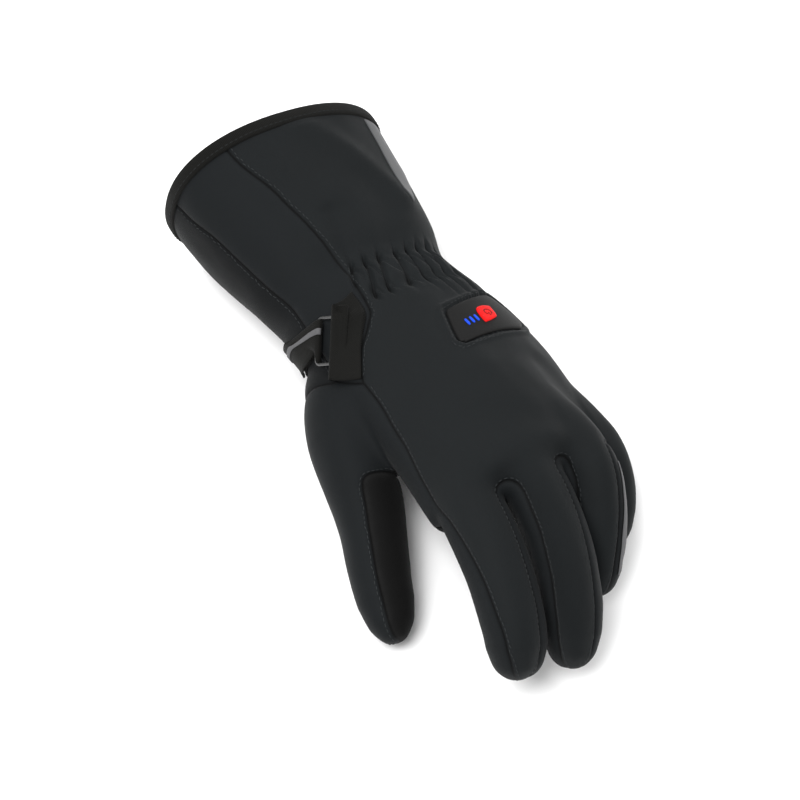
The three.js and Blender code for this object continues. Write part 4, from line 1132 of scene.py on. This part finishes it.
class GloveFabric(bpy.types.PropertyGroup):
    """Colours of the sewn parts."""

    back: bpy.props.FloatVectorProperty(
        name="Back", description="Softshell of the back of the hand and the cuff",
        default=(0.0057, 0.0068, 0.0074), subtype="COLOR", min=0, max=1)
    side: bpy.props.FloatVectorProperty(
        name="Side", description="Softshell of the cuff's side and the thumb",
        default=(0.005, 0.006, 0.0067), subtype="COLOR", min=0, max=1)
    under: bpy.props.FloatVectorProperty(
        name="Underside", description="Softshell under the cuff",
        default=(0.0028, 0.0033, 0.0037), subtype="COLOR", min=0, max=1)
    palm: bpy.props.FloatVectorProperty(
        name="Palm", description="Suede of the palm and the thumb's inside",
        default=(0.0026, 0.0026, 0.0026), subtype="COLOR", min=0, max=1)
    tape: bpy.props.FloatVectorProperty(
        name="Tape", description="Binding tape and webbing",
        default=(0.0042, 0.0042, 0.0037), subtype="COLOR", min=0, max=1)
    film: bpy.props.FloatVectorProperty(
        name="Film", description="Reflective film",
        default=(0.075, 0.075, 0.078), subtype="COLOR", min=0, max=1)


class GloveSewing(bpy.types.PropertyGroup):
    """Sizes of the seams and stitches."""

    seam_depth: bpy.props.FloatProperty(
        name="Seam depth", description="How deep a seam lies in the fabric",
        default=0.0013, min=0, max=0.003, unit="LENGTH")
    stitch_spacing: bpy.props.FloatProperty(
        name="Stitch spacing", description="From one stitch to the next",
        default=0.0029, min=0.001, max=0.01, unit="LENGTH")
    stitch_length: bpy.props.FloatProperty(
        name="Stitch length", description="Length of one stitch",
        default=0.0021, min=0.0005, max=0.01, unit="LENGTH")
    thread_thickness: bpy.props.FloatProperty(
        name="Thread", description="Thickness of the sewing thread",
        default=0.00045, min=0.0001, max=0.002, unit="LENGTH")


class GlovePad(bpy.types.PropertyGroup):
    """Colours of the control pad."""

    button: bpy.props.FloatVectorProperty(
        name="Button", description="Power button",
        default=(0.6, 0.008, 0.008), subtype="COLOR", min=0, max=1)
    light: bpy.props.FloatVectorProperty(
        name="Lights", description="Heat level lights",
        default=(0.008, 0.045, 0.42), subtype="COLOR", min=0, max=1)


class GLOVE_OT_panels(bpy.types.Operator):
    """Sew the nine fabric panels of the glove"""

    bl_idname = "glove.panels"
    bl_label = "Panels"

    def execute(self, context):
        sewing, fabric = context.scene.glove_sewing, context.scene.glove_fabric
        skin = made_skin()
        labels = panel_labels(skin)
        draw_seams(skin, labels)
        edges, pairs = seam_edges(skin, labels)
        a, b = skin.points[edges[:, 0]], skin.points[edges[:, 1]]
        seam_points = np.concatenate([a, (a + b) / 2, b])
        Glove.bare_tree = BVHTree.FromPolygons(skin.points.tolist(), skin.faces)
        gusset = np.zeros(len(skin.points))
        for number in np.flatnonzero(labels == PANELS.index("fourchette_index")):
            gusset[list(skin.faces[number])] = 1
        # The second value marks the seam lines and the painted shade in the gathers' creases.
        moved, near = sewn_surface(skin, seam_points, gusset, sewing)
        Glove.labels = labels
        Glove.moved = moved
        Glove.normals = skin.normals(moved)
        Glove.tree = BVHTree.FromPolygons(moved.tolist(), skin.faces)
        Glove.edges = edges
        Glove.pairs = pairs
        inner = skin.relaxed(moved - Glove.normals * WALL, 2)
        hem = skin.points[:, 1] > CUFF_LENGTH - 0.01
        inner[hem, 1] = CUFF_LENGTH
        cloth = {
            "softshell_back": softshell("Softshell back", fabric.back),
            "softshell_side": softshell("Softshell side", fabric.side),
            "softshell_under": softshell("Softshell under", fabric.under),
            "softshell_gusset": softshell("Softshell gusset", tuple(c * 0.85 for c in fabric.side)),
            "suede_palm": finish("Palm suede", fabric.palm, (0.03, 0.03, 0.03), 0.85, sheen=0.03,
                                 grain=0.12, grain_scale=1800.0),
        }
        lining = finish("Fleece lining", (0.012, 0.012, 0.012), (0.03, 0.03, 0.03), 0.95, sheen=0.3,
                        grain=0.5, grain_scale=700.0)
        for number, name in enumerate(PANELS):
            obj = panel_object(name + "_sewn", skin, np.flatnonzero(labels == number), moved, inner, near)
            dressed(obj, [name], PANEL_SLOTS[name], cloth[PANEL_SLOTS[name]], lining)
        return {"FINISHED"}


class GLOVE_OT_binding(bpy.types.Operator):
    """Fold the ribbed binding tape over the hem"""

    bl_idname = "glove.binding"
    bl_label = "Hem binding"

    def execute(self, context):
        start = CUFF_LENGTH - BINDING_WIDTH + 1.2
        end = CUFF_LENGTH
        lift = BINDING_LIFT
        inside = -WALL - lift
        profile = [(start + 0.2, 0.15), (start, 0.7), (start + 0.5, 1.25), (start + 2, lift),
                   (end - 1.5, lift), (end + 0.6, lift - 0.45), (end + lift, lift - 1.8),
                   (end + lift, inside + 1.8), (end + 0.6, inside + 0.45), (end - 1.5, inside),
                   (start + 2, inside), (start, inside + 0.9), (start + 1, inside + 1.3),
                   (end - 1, inside + 1.4), (end - 0.2, inside + 2.2), (end - 0.2, -0.6), (end - 1, 0.12)]
        profile = smooth_closed(profile, 68)
        degrees = np.linspace(0, 360, 420, endpoint=False)
        rings = []
        for y, offset in profile:
            ring = body_points(np.full_like(degrees, min(y, end)), degrees, offset)
            ring[:, 2] = np.maximum(ring[:, 2], max(0.0, lift - max(offset, 0)))
            ring[:, 1] = y
            rings.append(ring)
        rings = np.array(rings)
        middle = rings.mean(0)
        around = running(np.concatenate([middle, middle[:1]]))[:-1]
        across = running(np.concatenate([rings[:, 0], rings[:1, 0]]))[:-1]
        uvs = np.stack(np.broadcast_arrays(around[None], across[:, None]), -1).reshape(-1, 2)
        points = rings.reshape(-1, 3) + SHIFT
        binding = outward(mesh_object("hem_binding_sewn", points, ring_faces(rings), uvs))
        tape = context.scene.glove_fabric.tape
        rubbed = tuple(c * 2.5 for c in tape)
        material = finish("Binding tape", tape, rubbed, 0.8, RIBS, 0.8, 0.22, sheen=0.03)
        dressed(binding, ["hem_binding"], "knit_binding", material)
        thread = finish("Thread", (0.016, 0.017, 0.018), (0.03, 0.03, 0.03), 0.6)
        line = body_points(start + 1.7, np.linspace(0, 360, 500), lift + 0.02)
        stitch_rows("hem_stitches", [line], context.scene.glove_sewing, thread)
        return {"FINISHED"}


class GLOVE_OT_stitching(bpy.types.Operator):
    """Set the stitch rows beside the seams and round the pad"""

    bl_idname = "glove.stitching"
    bl_label = "Stitches"

    def execute(self, context):
        sewing = context.scene.glove_sewing
        thread = finish("Seam thread", (0.022, 0.024, 0.025), (0.04, 0.04, 0.04), 0.6)
        lines = []
        for pair, panel, offset in SEAM_ROWS:
            numbers = [PANELS.index(name) for name in pair]
            for chain in seam_chains(Glove.edges, Glove.pairs, numbers):
                line = beside_seam(chain, panel, offset)
                if len(line) > 25:
                    lines.append(line[5:-5])
        stitch_rows("seam_stitches", lines, sewing, thread)
        grown = smooth_closed(PAD_OUTLINE, 240) * (np.array(PAD_SIZE) + 2 * PAD_STITCH_GAP)
        ring = on_bare_skin(place_on(PAD_PLACE), grown[:, 0], grown[:, 1])
        ring = np.array([np.array(Glove.tree.find_nearest(Vector(p))[0]) for p in ring])
        stitch_rows("pad_stitches", [np.concatenate([ring, ring[:1]])], sewing, thread)
        return {"FINISHED"}


# Stitch rows: the panels that a seam joins, the one that the stitches are on, and how far from the seam
SEAM_ROWS = [
    (("back_panel", "cuff_side_panel"), "back_panel", 2.2),
    (("back_panel", "thumb_side_panel"), "back_panel", 2.0),
    (("back_panel", "fourchette_index"), "back_panel", 1.8),
    (("back_panel", "fourchette_middle"), "back_panel", 1.8),
    (("back_panel", "fourchette_ring"), "back_panel", 1.8),
    (("thumb_side_panel", "thumb_inner_panel"), "thumb_side_panel", 1.8),
    (("cuff_side_panel", "cuff_under_panel"), "cuff_under_panel", 1.8),
    (("cuff_side_panel", "thumb_side_panel"), "thumb_side_panel", 1.8),
    (("back_panel", "palm_panel"), "palm_panel", 2.0),
    (("palm_panel", "cuff_under_panel"), "palm_panel", 2.0),
    (("palm_panel", "thumb_side_panel"), "palm_panel", 2.0),
]


def run_stations(height, places):
    """Stations of the strap round the wrist to its underside, at a height above it."""
    path = smooth_open(STRAP_PATH, STRAP_STATIONS)
    points, outs = [], []
    for i, (along, around) in enumerate(path):
        before, after = path[max(i - 1, 0)], path[min(i + 1, len(path) - 1)]
        run = body_points(length_of(after[0]), after[1]) - body_points(length_of(before[0]), before[1])
        y = float(length_of(along))
        turned = math.atan2(run[1], math.hypot(run[0], run[2]))
        reach = np.linalg.norm(body_points(y, around + 1) - body_points(y, around - 1)) / 2
        at_y = y - places * math.cos(turned)
        at_degrees = around - places * math.sin(turned) / reach
        out = body_normals(at_y, at_degrees)
        points.append(body_points(at_y, at_degrees) + out * height)
        outs.append(out)
    return np.array(points), np.array(outs)


def ring_point(axes, across, along, height):
    """Points on the ring's frame."""
    origin, side, forward, out = axes
    return origin + side * across + forward * np.asarray(along)[..., None] + out * height


def bar_loop(axes, bar, inward, places, thickness, degrees):
    """Stations of webbing round one long side of the ring, on the side of it that faces inward."""
    reach = RING_WIRE + SEAM_GAP + thickness / 2
    points, outs = [], []
    for angle in np.radians(degrees):
        across, up = inward * math.cos(angle), math.sin(angle)
        points.append(ring_point(axes, bar + across * reach, places, RING_HEIGHT + up * reach))
        outs.append(np.broadcast_to(axes[1] * across + axes[3] * up, points[-1].shape))
    return points, outs


def strap_stations(axes, places):
    """Stations of the strap: up from under the wrist, round the ring's bar and back on top of itself."""
    low = SEAM_GAP + WEBBING_THICKNESS / 2
    high = low + WEBBING_THICKNESS + SEAM_GAP
    lower, lower_out = run_stations(low, places)
    upper, upper_out = (part[:STRAP_RETURN] for part in run_stations(high, places))
    loop, loop_out = bar_loop(axes, 0.0, 1, places, WEBBING_THICKNESS, np.linspace(-90, 90, 13))
    points = [above_skin(lower[::-1], low), loop, above_skin(upper, high + 0.1)]
    return smooth_line(np.concatenate(points), 3), np.concatenate([-lower_out[::-1], loop_out, upper_out])


def over_wire(axes, stations, lengthwise):
    """Keeps the tab's stations clear of the ring's wire, less so towards its seam and the ring's ends."""
    reach = RING_WIRE + SEAM_GAP + TAB_THICKNESS / 2
    last = len(stations) - 1
    beside = np.clip((RING_LENGTH / 2 + 3 - np.abs(lengthwise)) / 3, 0, 1)
    for number, station in enumerate(stations):
        held = beside * min(1, number / 5)
        away = (station - axes[0]) @ axes[1] - RING_WIDTH
        push = np.maximum(0.35 * (last - number) - away, 0) * held
        station += np.outer(push, axes[1])
        away = np.abs(away + push)
        round_wire = RING_HEIGHT + np.sqrt(np.maximum(reach ** 2 - away ** 2, 0))
        needed = np.where(away < reach, round_wire, RING_HEIGHT - (away - reach) * 0.8)
        station += np.outer(np.maximum(needed - (station - axes[0]) @ axes[3], 0) * held, axes[3])


def tab_stations(axes):
    """Stations of the tab: from its seam over the ring's bar, round it and back under itself."""
    right, left = smooth_open(TAB_RIGHT, TAB_ROWS), smooth_open(TAB_LEFT, TAB_ROWS)
    half = TAB_THICKNESS / 2
    edge = body_points(length_of(left[:, 0]), left[:, 1]) - axes[0]
    lengthwise = np.clip(edge @ axes[2], -WEBBING_WIDTH / 2 - 7, WEBBING_WIDTH / 2 + 9)
    bar_top = ring_point(axes, RING_WIDTH, lengthwise, RING_HEIGHT + RING_WIRE + SEAM_GAP + half)
    stations, ways = [], []
    for share in np.linspace(0, 1, TAB_STATIONS):
        along, around = (right * (1 - share) + left * share).T
        y = length_of(along)
        out = body_normals(y, around)
        flat = above_skin(body_points(y, around) + out * (SEAM_GAP + half), SEAM_GAP / 2 + half)
        lift = share ** 1.6
        stations.append(flat * (1 - lift) + bar_top * lift)
        ways.append(out * (1 - lift) + axes[3] * lift)
    loop, loop_out = bar_loop(axes, RING_WIDTH, -1, lengthwise, TAB_THICKNESS, np.linspace(90, -90, 13)[1:])
    stations += loop
    ways += loop_out
    for past, height in ((3, 0.8), (6, 0.4)):
        stations.append(ring_point(axes, RING_WIDTH + past, lengthwise, height))
        ways.append(np.broadcast_to(-axes[3], stations[-1].shape))
    stations, ways = np.array(stations), np.array(ways)
    stations[:TAB_STATIONS - 1] = smooth_line(stations[:TAB_STATIONS - 1], 3)
    stations[:, 1:-1] = 0.5 * stations[:, 1:-1] + 0.25 * (stations[:, :-2] + stations[:, 2:])
    over_wire(axes, stations[:TAB_STATIONS], lengthwise)
    return stations, ways / np.linalg.norm(ways, axis=-1, keepdims=True)


def wire_rings(axes):
    """Rings of points round the wire, along the whole rectangle."""
    half_width, half_length = RING_WIDTH / 2 - RING_CORNER, RING_LENGTH / 2 - RING_CORNER
    turn = np.linspace(0, 2 * math.pi, 14, endpoint=False)
    reach = np.cos(turn) * RING_WIRE
    rings = []
    for across, along, first in ((1, 1, 0), (-1, 1, 90), (-1, -1, 180), (1, -1, 270)):
        for angle in np.radians(first + np.linspace(0, 90, 9)):
            c, s = math.cos(angle), math.sin(angle)
            middle = (RING_WIDTH / 2 + across * half_width + RING_CORNER * c,
                      along * half_length + RING_CORNER * s)
            rings.append(axes[0] + np.outer(middle[0] + c * reach, axes[1])
                         + np.outer(middle[1] + s * reach, axes[2])
                         + np.outer(RING_HEIGHT + np.sin(turn) * RING_WIRE, axes[3]))
    return np.array(rings)


class GLOVE_OT_closure(bpy.types.Operator):
    """Lay the webbing tab and strap round the wire ring"""

    bl_idname = "glove.closure"
    bl_label = "Strap and ring"

    def execute(self, context):
        fabric = context.scene.glove_fabric
        webbing = finish("Webbing", fabric.tape, tuple(c * 2.4 for c in fabric.tape), 0.72, WEAVE, 1.1, 0.16,
                         sheen=0.02)
        axes = place_on(RING_PLACE, RING_SLANT)
        places = np.linspace(-0.5, 0.5, 9) * WEBBING_WIDTH
        points, outs = strap_stations(axes, places)
        strap = ribbon("strap_sewn", points, outs, WEBBING_THICKNESS)
        dressed(strap, ["strap"], "webbing", webbing)

        film = finish("Strap film", fabric.film, (0.15, 0.15, 0.15), 0.5, grain=0.04, grain_scale=2500.0)
        first = STRAP_STATIONS + 7
        shares = (np.linspace(*STRIPE_SHARES, 4) + 0.5) * (len(places) - 1)
        strip = np.array([[np.interp(shares, np.arange(len(places)), line[:, k]) for k in range(3)]
                          for line in points[first:]]).transpose(0, 2, 1)
        ways = outs[first:, :4]
        stripe = ribbon("strap_reflector_sewn", strip + ways * (WEBBING_THICKNESS / 2 + 0.25), ways,
                        FILM_THICKNESS)
        dressed(stripe, ["strap_reflector"], "reflective", film)

        tab = outward(ribbon("strap_tab_sewn", *tab_stations(axes), TAB_THICKNESS))
        dressed(tab, ["strap_tab"], "webbing", webbing)

        rings = wire_rings(axes)
        wire = outward(mesh_object("buckle_ring_bent", rings.reshape(-1, 3) + SHIFT, ring_faces(rings)))
        lacquer = finish("Lacquered wire", (0.11, 0.11, 0.11), (0.2, 0.2, 0.2), 0.36, metallic=1.0,
                         grain=0.01)
        dressed(wire, ["buckle_ring"], "ring_metal", lacquer)
        return {"FINISHED"}


class GLOVE_OT_pad(bpy.types.Operator):
    """Set the control pad with its power button and level lights"""

    bl_idname = "glove.pad"
    bl_label = "Control pad"

    def execute(self, context):
        colours = context.scene.glove_pad
        axes = place_on(PAD_PLACE)

        def surface(flat):
            return on_bare_skin(axes, flat[:, 0], flat[:, 1]), axes[3]

        rubber = finish("Pad rubber", (0.0072, 0.0072, 0.0072), (0.02, 0.02, 0.02), 0.55, grain=0.05,
                        grain_scale=2200.0)
        outline = smooth_closed(PAD_OUTLINE, 120) * PAD_SIZE
        top = SEAM_GAP + PAD_THICKNESS * 0.42
        pad = domed_plate("control_pad_moulded", outline, surface, top, edge=1.1, wall=1.4)
        dressed(pad, ["control_pad"], "pad_rubber", rubber)

        # The button's red also glows faintly, a painted glow; the button is no lamp.
        red = finish("Red button", colours.button, (0.75, 0.05, 0.04), 0.42, glow=0.08, gloss=0.05,
                     grain=0.02)
        outline = smooth_closed(BUTTON_OUTLINE, 60) * PAD_SIZE
        button_top = top + BUTTON_THICKNESS
        button = domed_plate("power_button_moulded", outline, surface, button_top, edge=0.6, wall=0.4 - top)
        dressed(button, ["power_button"], "button_red", red)

        mark = finish("Power symbol", (0.1, 0.003, 0.003), (0.16, 0.01, 0.01), 0.5)
        arc = np.radians(np.linspace(-240, 60, 40))
        centre = outline.mean(0)
        lines = [centre + SYMBOL_RADIUS * np.stack([np.cos(arc), np.sin(arc)], 1),
                 centre + np.stack([np.zeros(12), np.linspace(0.3, SYMBOL_RADIUS + 1, 12)], 1)]
        for number, line in enumerate(lines):
            base = on_bare_skin(axes, line[:, 0], line[:, 1]) + axes[3] * (button_top + 0.04)
            run = np.gradient(base, axis=0)
            run /= np.linalg.norm(run, axis=1, keepdims=True)
            side = np.cross(run, axes[3]) * SYMBOL_LINE / 2
            strip = np.stack([base - side, base, base + side], 1)
            part = ribbon(f"power_symbol_{number + 1}", strip, np.broadcast_to(axes[3], strip.shape), 0.12)
            dressed(part, [], "button_red", mark)

        blue = finish("Blue light", colours.light, (0.05, 0.2, 0.8), 0.35, glow=0.5, grain=0.01)
        for number, place in enumerate(LIGHT_PLACES):
            outline = (smooth_closed(LIGHT_OUTLINE, 32) + place) * PAD_SIZE
            light = domed_plate(f"level_light_{number + 1}_moulded", outline, surface, top + LIGHT_THICKNESS,
                                edge=0.25, wall=0.3 - top)
            dressed(light, [f"level_light_{number + 1}"], "light_blue", blue)
        return {"FINISHED"}


class GLOVE_OT_reflectors(bpy.types.Operator):
    """Lay the reflective film on the cuff and the ring finger"""

    bl_idname = "glove.reflectors"
    bl_label = "Reflectors"

    def execute(self, context):
        film = finish("Reflective film", context.scene.glove_fabric.film, (0.15, 0.15, 0.15), 0.5, grain=0.04,
                      grain_scale=2500.0)

        def on_cuff(flat):
            y = length_of(flat[:, 0] / 100)
            return above_skin(body_points(y, flat[:, 1]), 0.0), body_normals(y, flat[:, 1])

        outline = cornered(CUFF_REFLECTOR, 126) * (100, 1)
        cuff = domed_plate("cuff_reflector_laid", outline, on_cuff, SEAM_GAP + FILM_THICKNESS, edge=0.25,
                           rings=14, wall=0.2)
        dressed(cuff, ["cuff_reflector"], "reflective", film)
        rows = smooth_open(FINGER_REFLECTOR, 40)
        shares = np.linspace(0, 1, 12)
        degrees = rows[:, 1:2] * (1 - shares) + rows[:, 2:3] * shares
        points, outs = [], []
        for along, turn in zip(rows[:, 0], degrees):
            low = digit_points("ring", along, turn)[0]
            out = digit_points("ring", along, turn, 2.0)[0] - low
            points.append(low)
            outs.append(out / np.linalg.norm(out, axis=1, keepdims=True))
        points, outs = np.array(points), np.array(outs)
        strip = above_skin(points + outs * 0.3, SEAM_GAP)
        finger = ribbon("finger_reflector_laid", strip, outs, FILM_THICKNESS)
        dressed(finger, ["finger_reflector"], "reflective", film)
        return {"FINISHED"}


# Where the photograph was taken from: degrees to the thumb's side and above the floor, metres away, and how
# far the view's middle lies from what it turns about, to the right and up
VIEW_ANGLES = (-30.4, 55.4)
VIEW_DISTANCE = 1.5
VIEW_OFFSET = (-0.015, -0.009)
# Soft lights: name, place and size in metres, and watts
LIGHTS = [("key", (-0.7, -0.3, 1.5), 0.8, 30), ("fill", (1.2, 0.1, 1.1), 1.2, 9),
          ("top", (0.1, 1.0, 1.3), 1.0, 9)]
FLOOR_HEIGHT = -0.0006
FLOOR_CORNERS = [(-4, -4), (4, -4), (4, 4), (-4, 4)]


class GLOVE_OT_stage(bpy.types.Operator):
    """Set the floor, the lights and the camera"""

    bl_idname = "glove.stage"
    bl_label = "Stage"

    def execute(self, context):
        mesh = bpy.data.meshes.new("floor")
        mesh.from_pydata([(x, y, FLOOR_HEIGHT) for x, y in FLOOR_CORNERS], [], [(0, 1, 2, 3)])
        floor = bpy.data.objects.new("floor", mesh)
        context.collection.objects.link(floor)
        paper = bpy.data.materials.new("Floor paper")
        paper.use_nodes = True
        shader = paper.node_tree.nodes["Principled BSDF"]
        shader.inputs["Base Color"].default_value = (0.9, 0.9, 0.9, 1)
        shader.inputs["Roughness"].default_value = 0.95
        mesh.materials.append(paper)

        azimuth, elevation = (math.radians(angle) for angle in VIEW_ANGLES)
        back = Vector((math.sin(azimuth) * math.cos(elevation), -math.cos(azimuth) * math.cos(elevation),
                       math.sin(elevation)))
        right = Vector((math.cos(azimuth), math.sin(azimuth), 0))
        up = back.cross(right)
        camera = bpy.data.objects.new("camera", bpy.data.cameras.new("camera"))
        context.collection.objects.link(camera)
        camera.data.lens = 135
        camera.data.sensor_width = 36
        turned = Matrix((right, up, back)).transposed().to_4x4()
        target = Vector((0, -0.06, 0.04)) + Vector(SHIFT * MM)
        turned.translation = target + back * VIEW_DISTANCE + right * VIEW_OFFSET[0] + up * VIEW_OFFSET[1]
        camera.matrix_world = turned
        context.scene.camera = camera

        middle = Vector((0, -0.02, 0.03))
        for name, place, size, power in LIGHTS:
            light = bpy.data.lights.new(name, "AREA")
            light.energy = power
            light.size = size
            lamp = bpy.data.objects.new(name, light)
            context.collection.objects.link(lamp)
            lamp.location = place
            lamp.rotation_euler = (middle - Vector(place)).to_track_quat("-Z", "Y").to_euler()
        world = bpy.data.worlds.new("studio")
        world.use_nodes = True
        world.node_tree.nodes["Background"].inputs["Color"].default_value = (1, 1, 1, 1)
        world.node_tree.nodes["Background"].inputs["Strength"].default_value = 0.8
        context.scene.world = world
        context.scene.view_settings.view_transform = "Standard"
        return {"FINISHED"}


class GLOVE_PT_sidebar(bpy.types.Panel):
    """Sizes, colours and steps of the glove"""

    bl_label = "Heated Glove"
    bl_idname = "GLOVE_PT_sidebar"
    bl_space_type = "VIEW_3D"
    bl_region_type = "UI"
    bl_category = "Glove"

    def draw(self, context):
        scene = context.scene
        for group_of in (scene.glove_fabric, scene.glove_sewing, scene.glove_pad):
            box = self.layout.box()
            for name in group_of.__annotations__:
                box.prop(group_of, name)
        for step in STEPS:
            self.layout.operator(step)


STEPS = ["glove.panels", "glove.binding", "glove.stitching", "glove.closure", "glove.pad", "glove.reflectors",
         "glove.stage"]
CLASSES = [GloveFabric, GloveSewing, GlovePad, GLOVE_OT_panels, GLOVE_OT_binding, GLOVE_OT_stitching,
           GLOVE_OT_closure, GLOVE_OT_pad, GLOVE_OT_reflectors, GLOVE_OT_stage, GLOVE_PT_sidebar]


def register():
    """Makes the properties, the steps and the panel known to Blender."""
    for kind in CLASSES:
        bpy.utils.register_class(kind)
    bpy.types.Scene.glove_fabric = bpy.props.PointerProperty(type=GloveFabric)
    bpy.types.Scene.glove_sewing = bpy.props.PointerProperty(type=GloveSewing)
    bpy.types.Scene.glove_pad = bpy.props.PointerProperty(type=GlovePad)


def unregister():
    """Takes them out again."""
    del bpy.types.Scene.glove_pad
    del bpy.types.Scene.glove_sewing
    del bpy.types.Scene.glove_fabric
    for kind in reversed(CLASSES):
        bpy.utils.unregister_class(kind)


def main():
    """Makes the whole glove."""
    register()
    bpy.ops.glove.panels()
    bpy.ops.glove.binding()
    bpy.ops.glove.stitching()
    bpy.ops.glove.closure()
    bpy.ops.glove.pad()
    bpy.ops.glove.reflectors()
    bpy.ops.glove.stage()


if __name__ == "__main__":
    main()
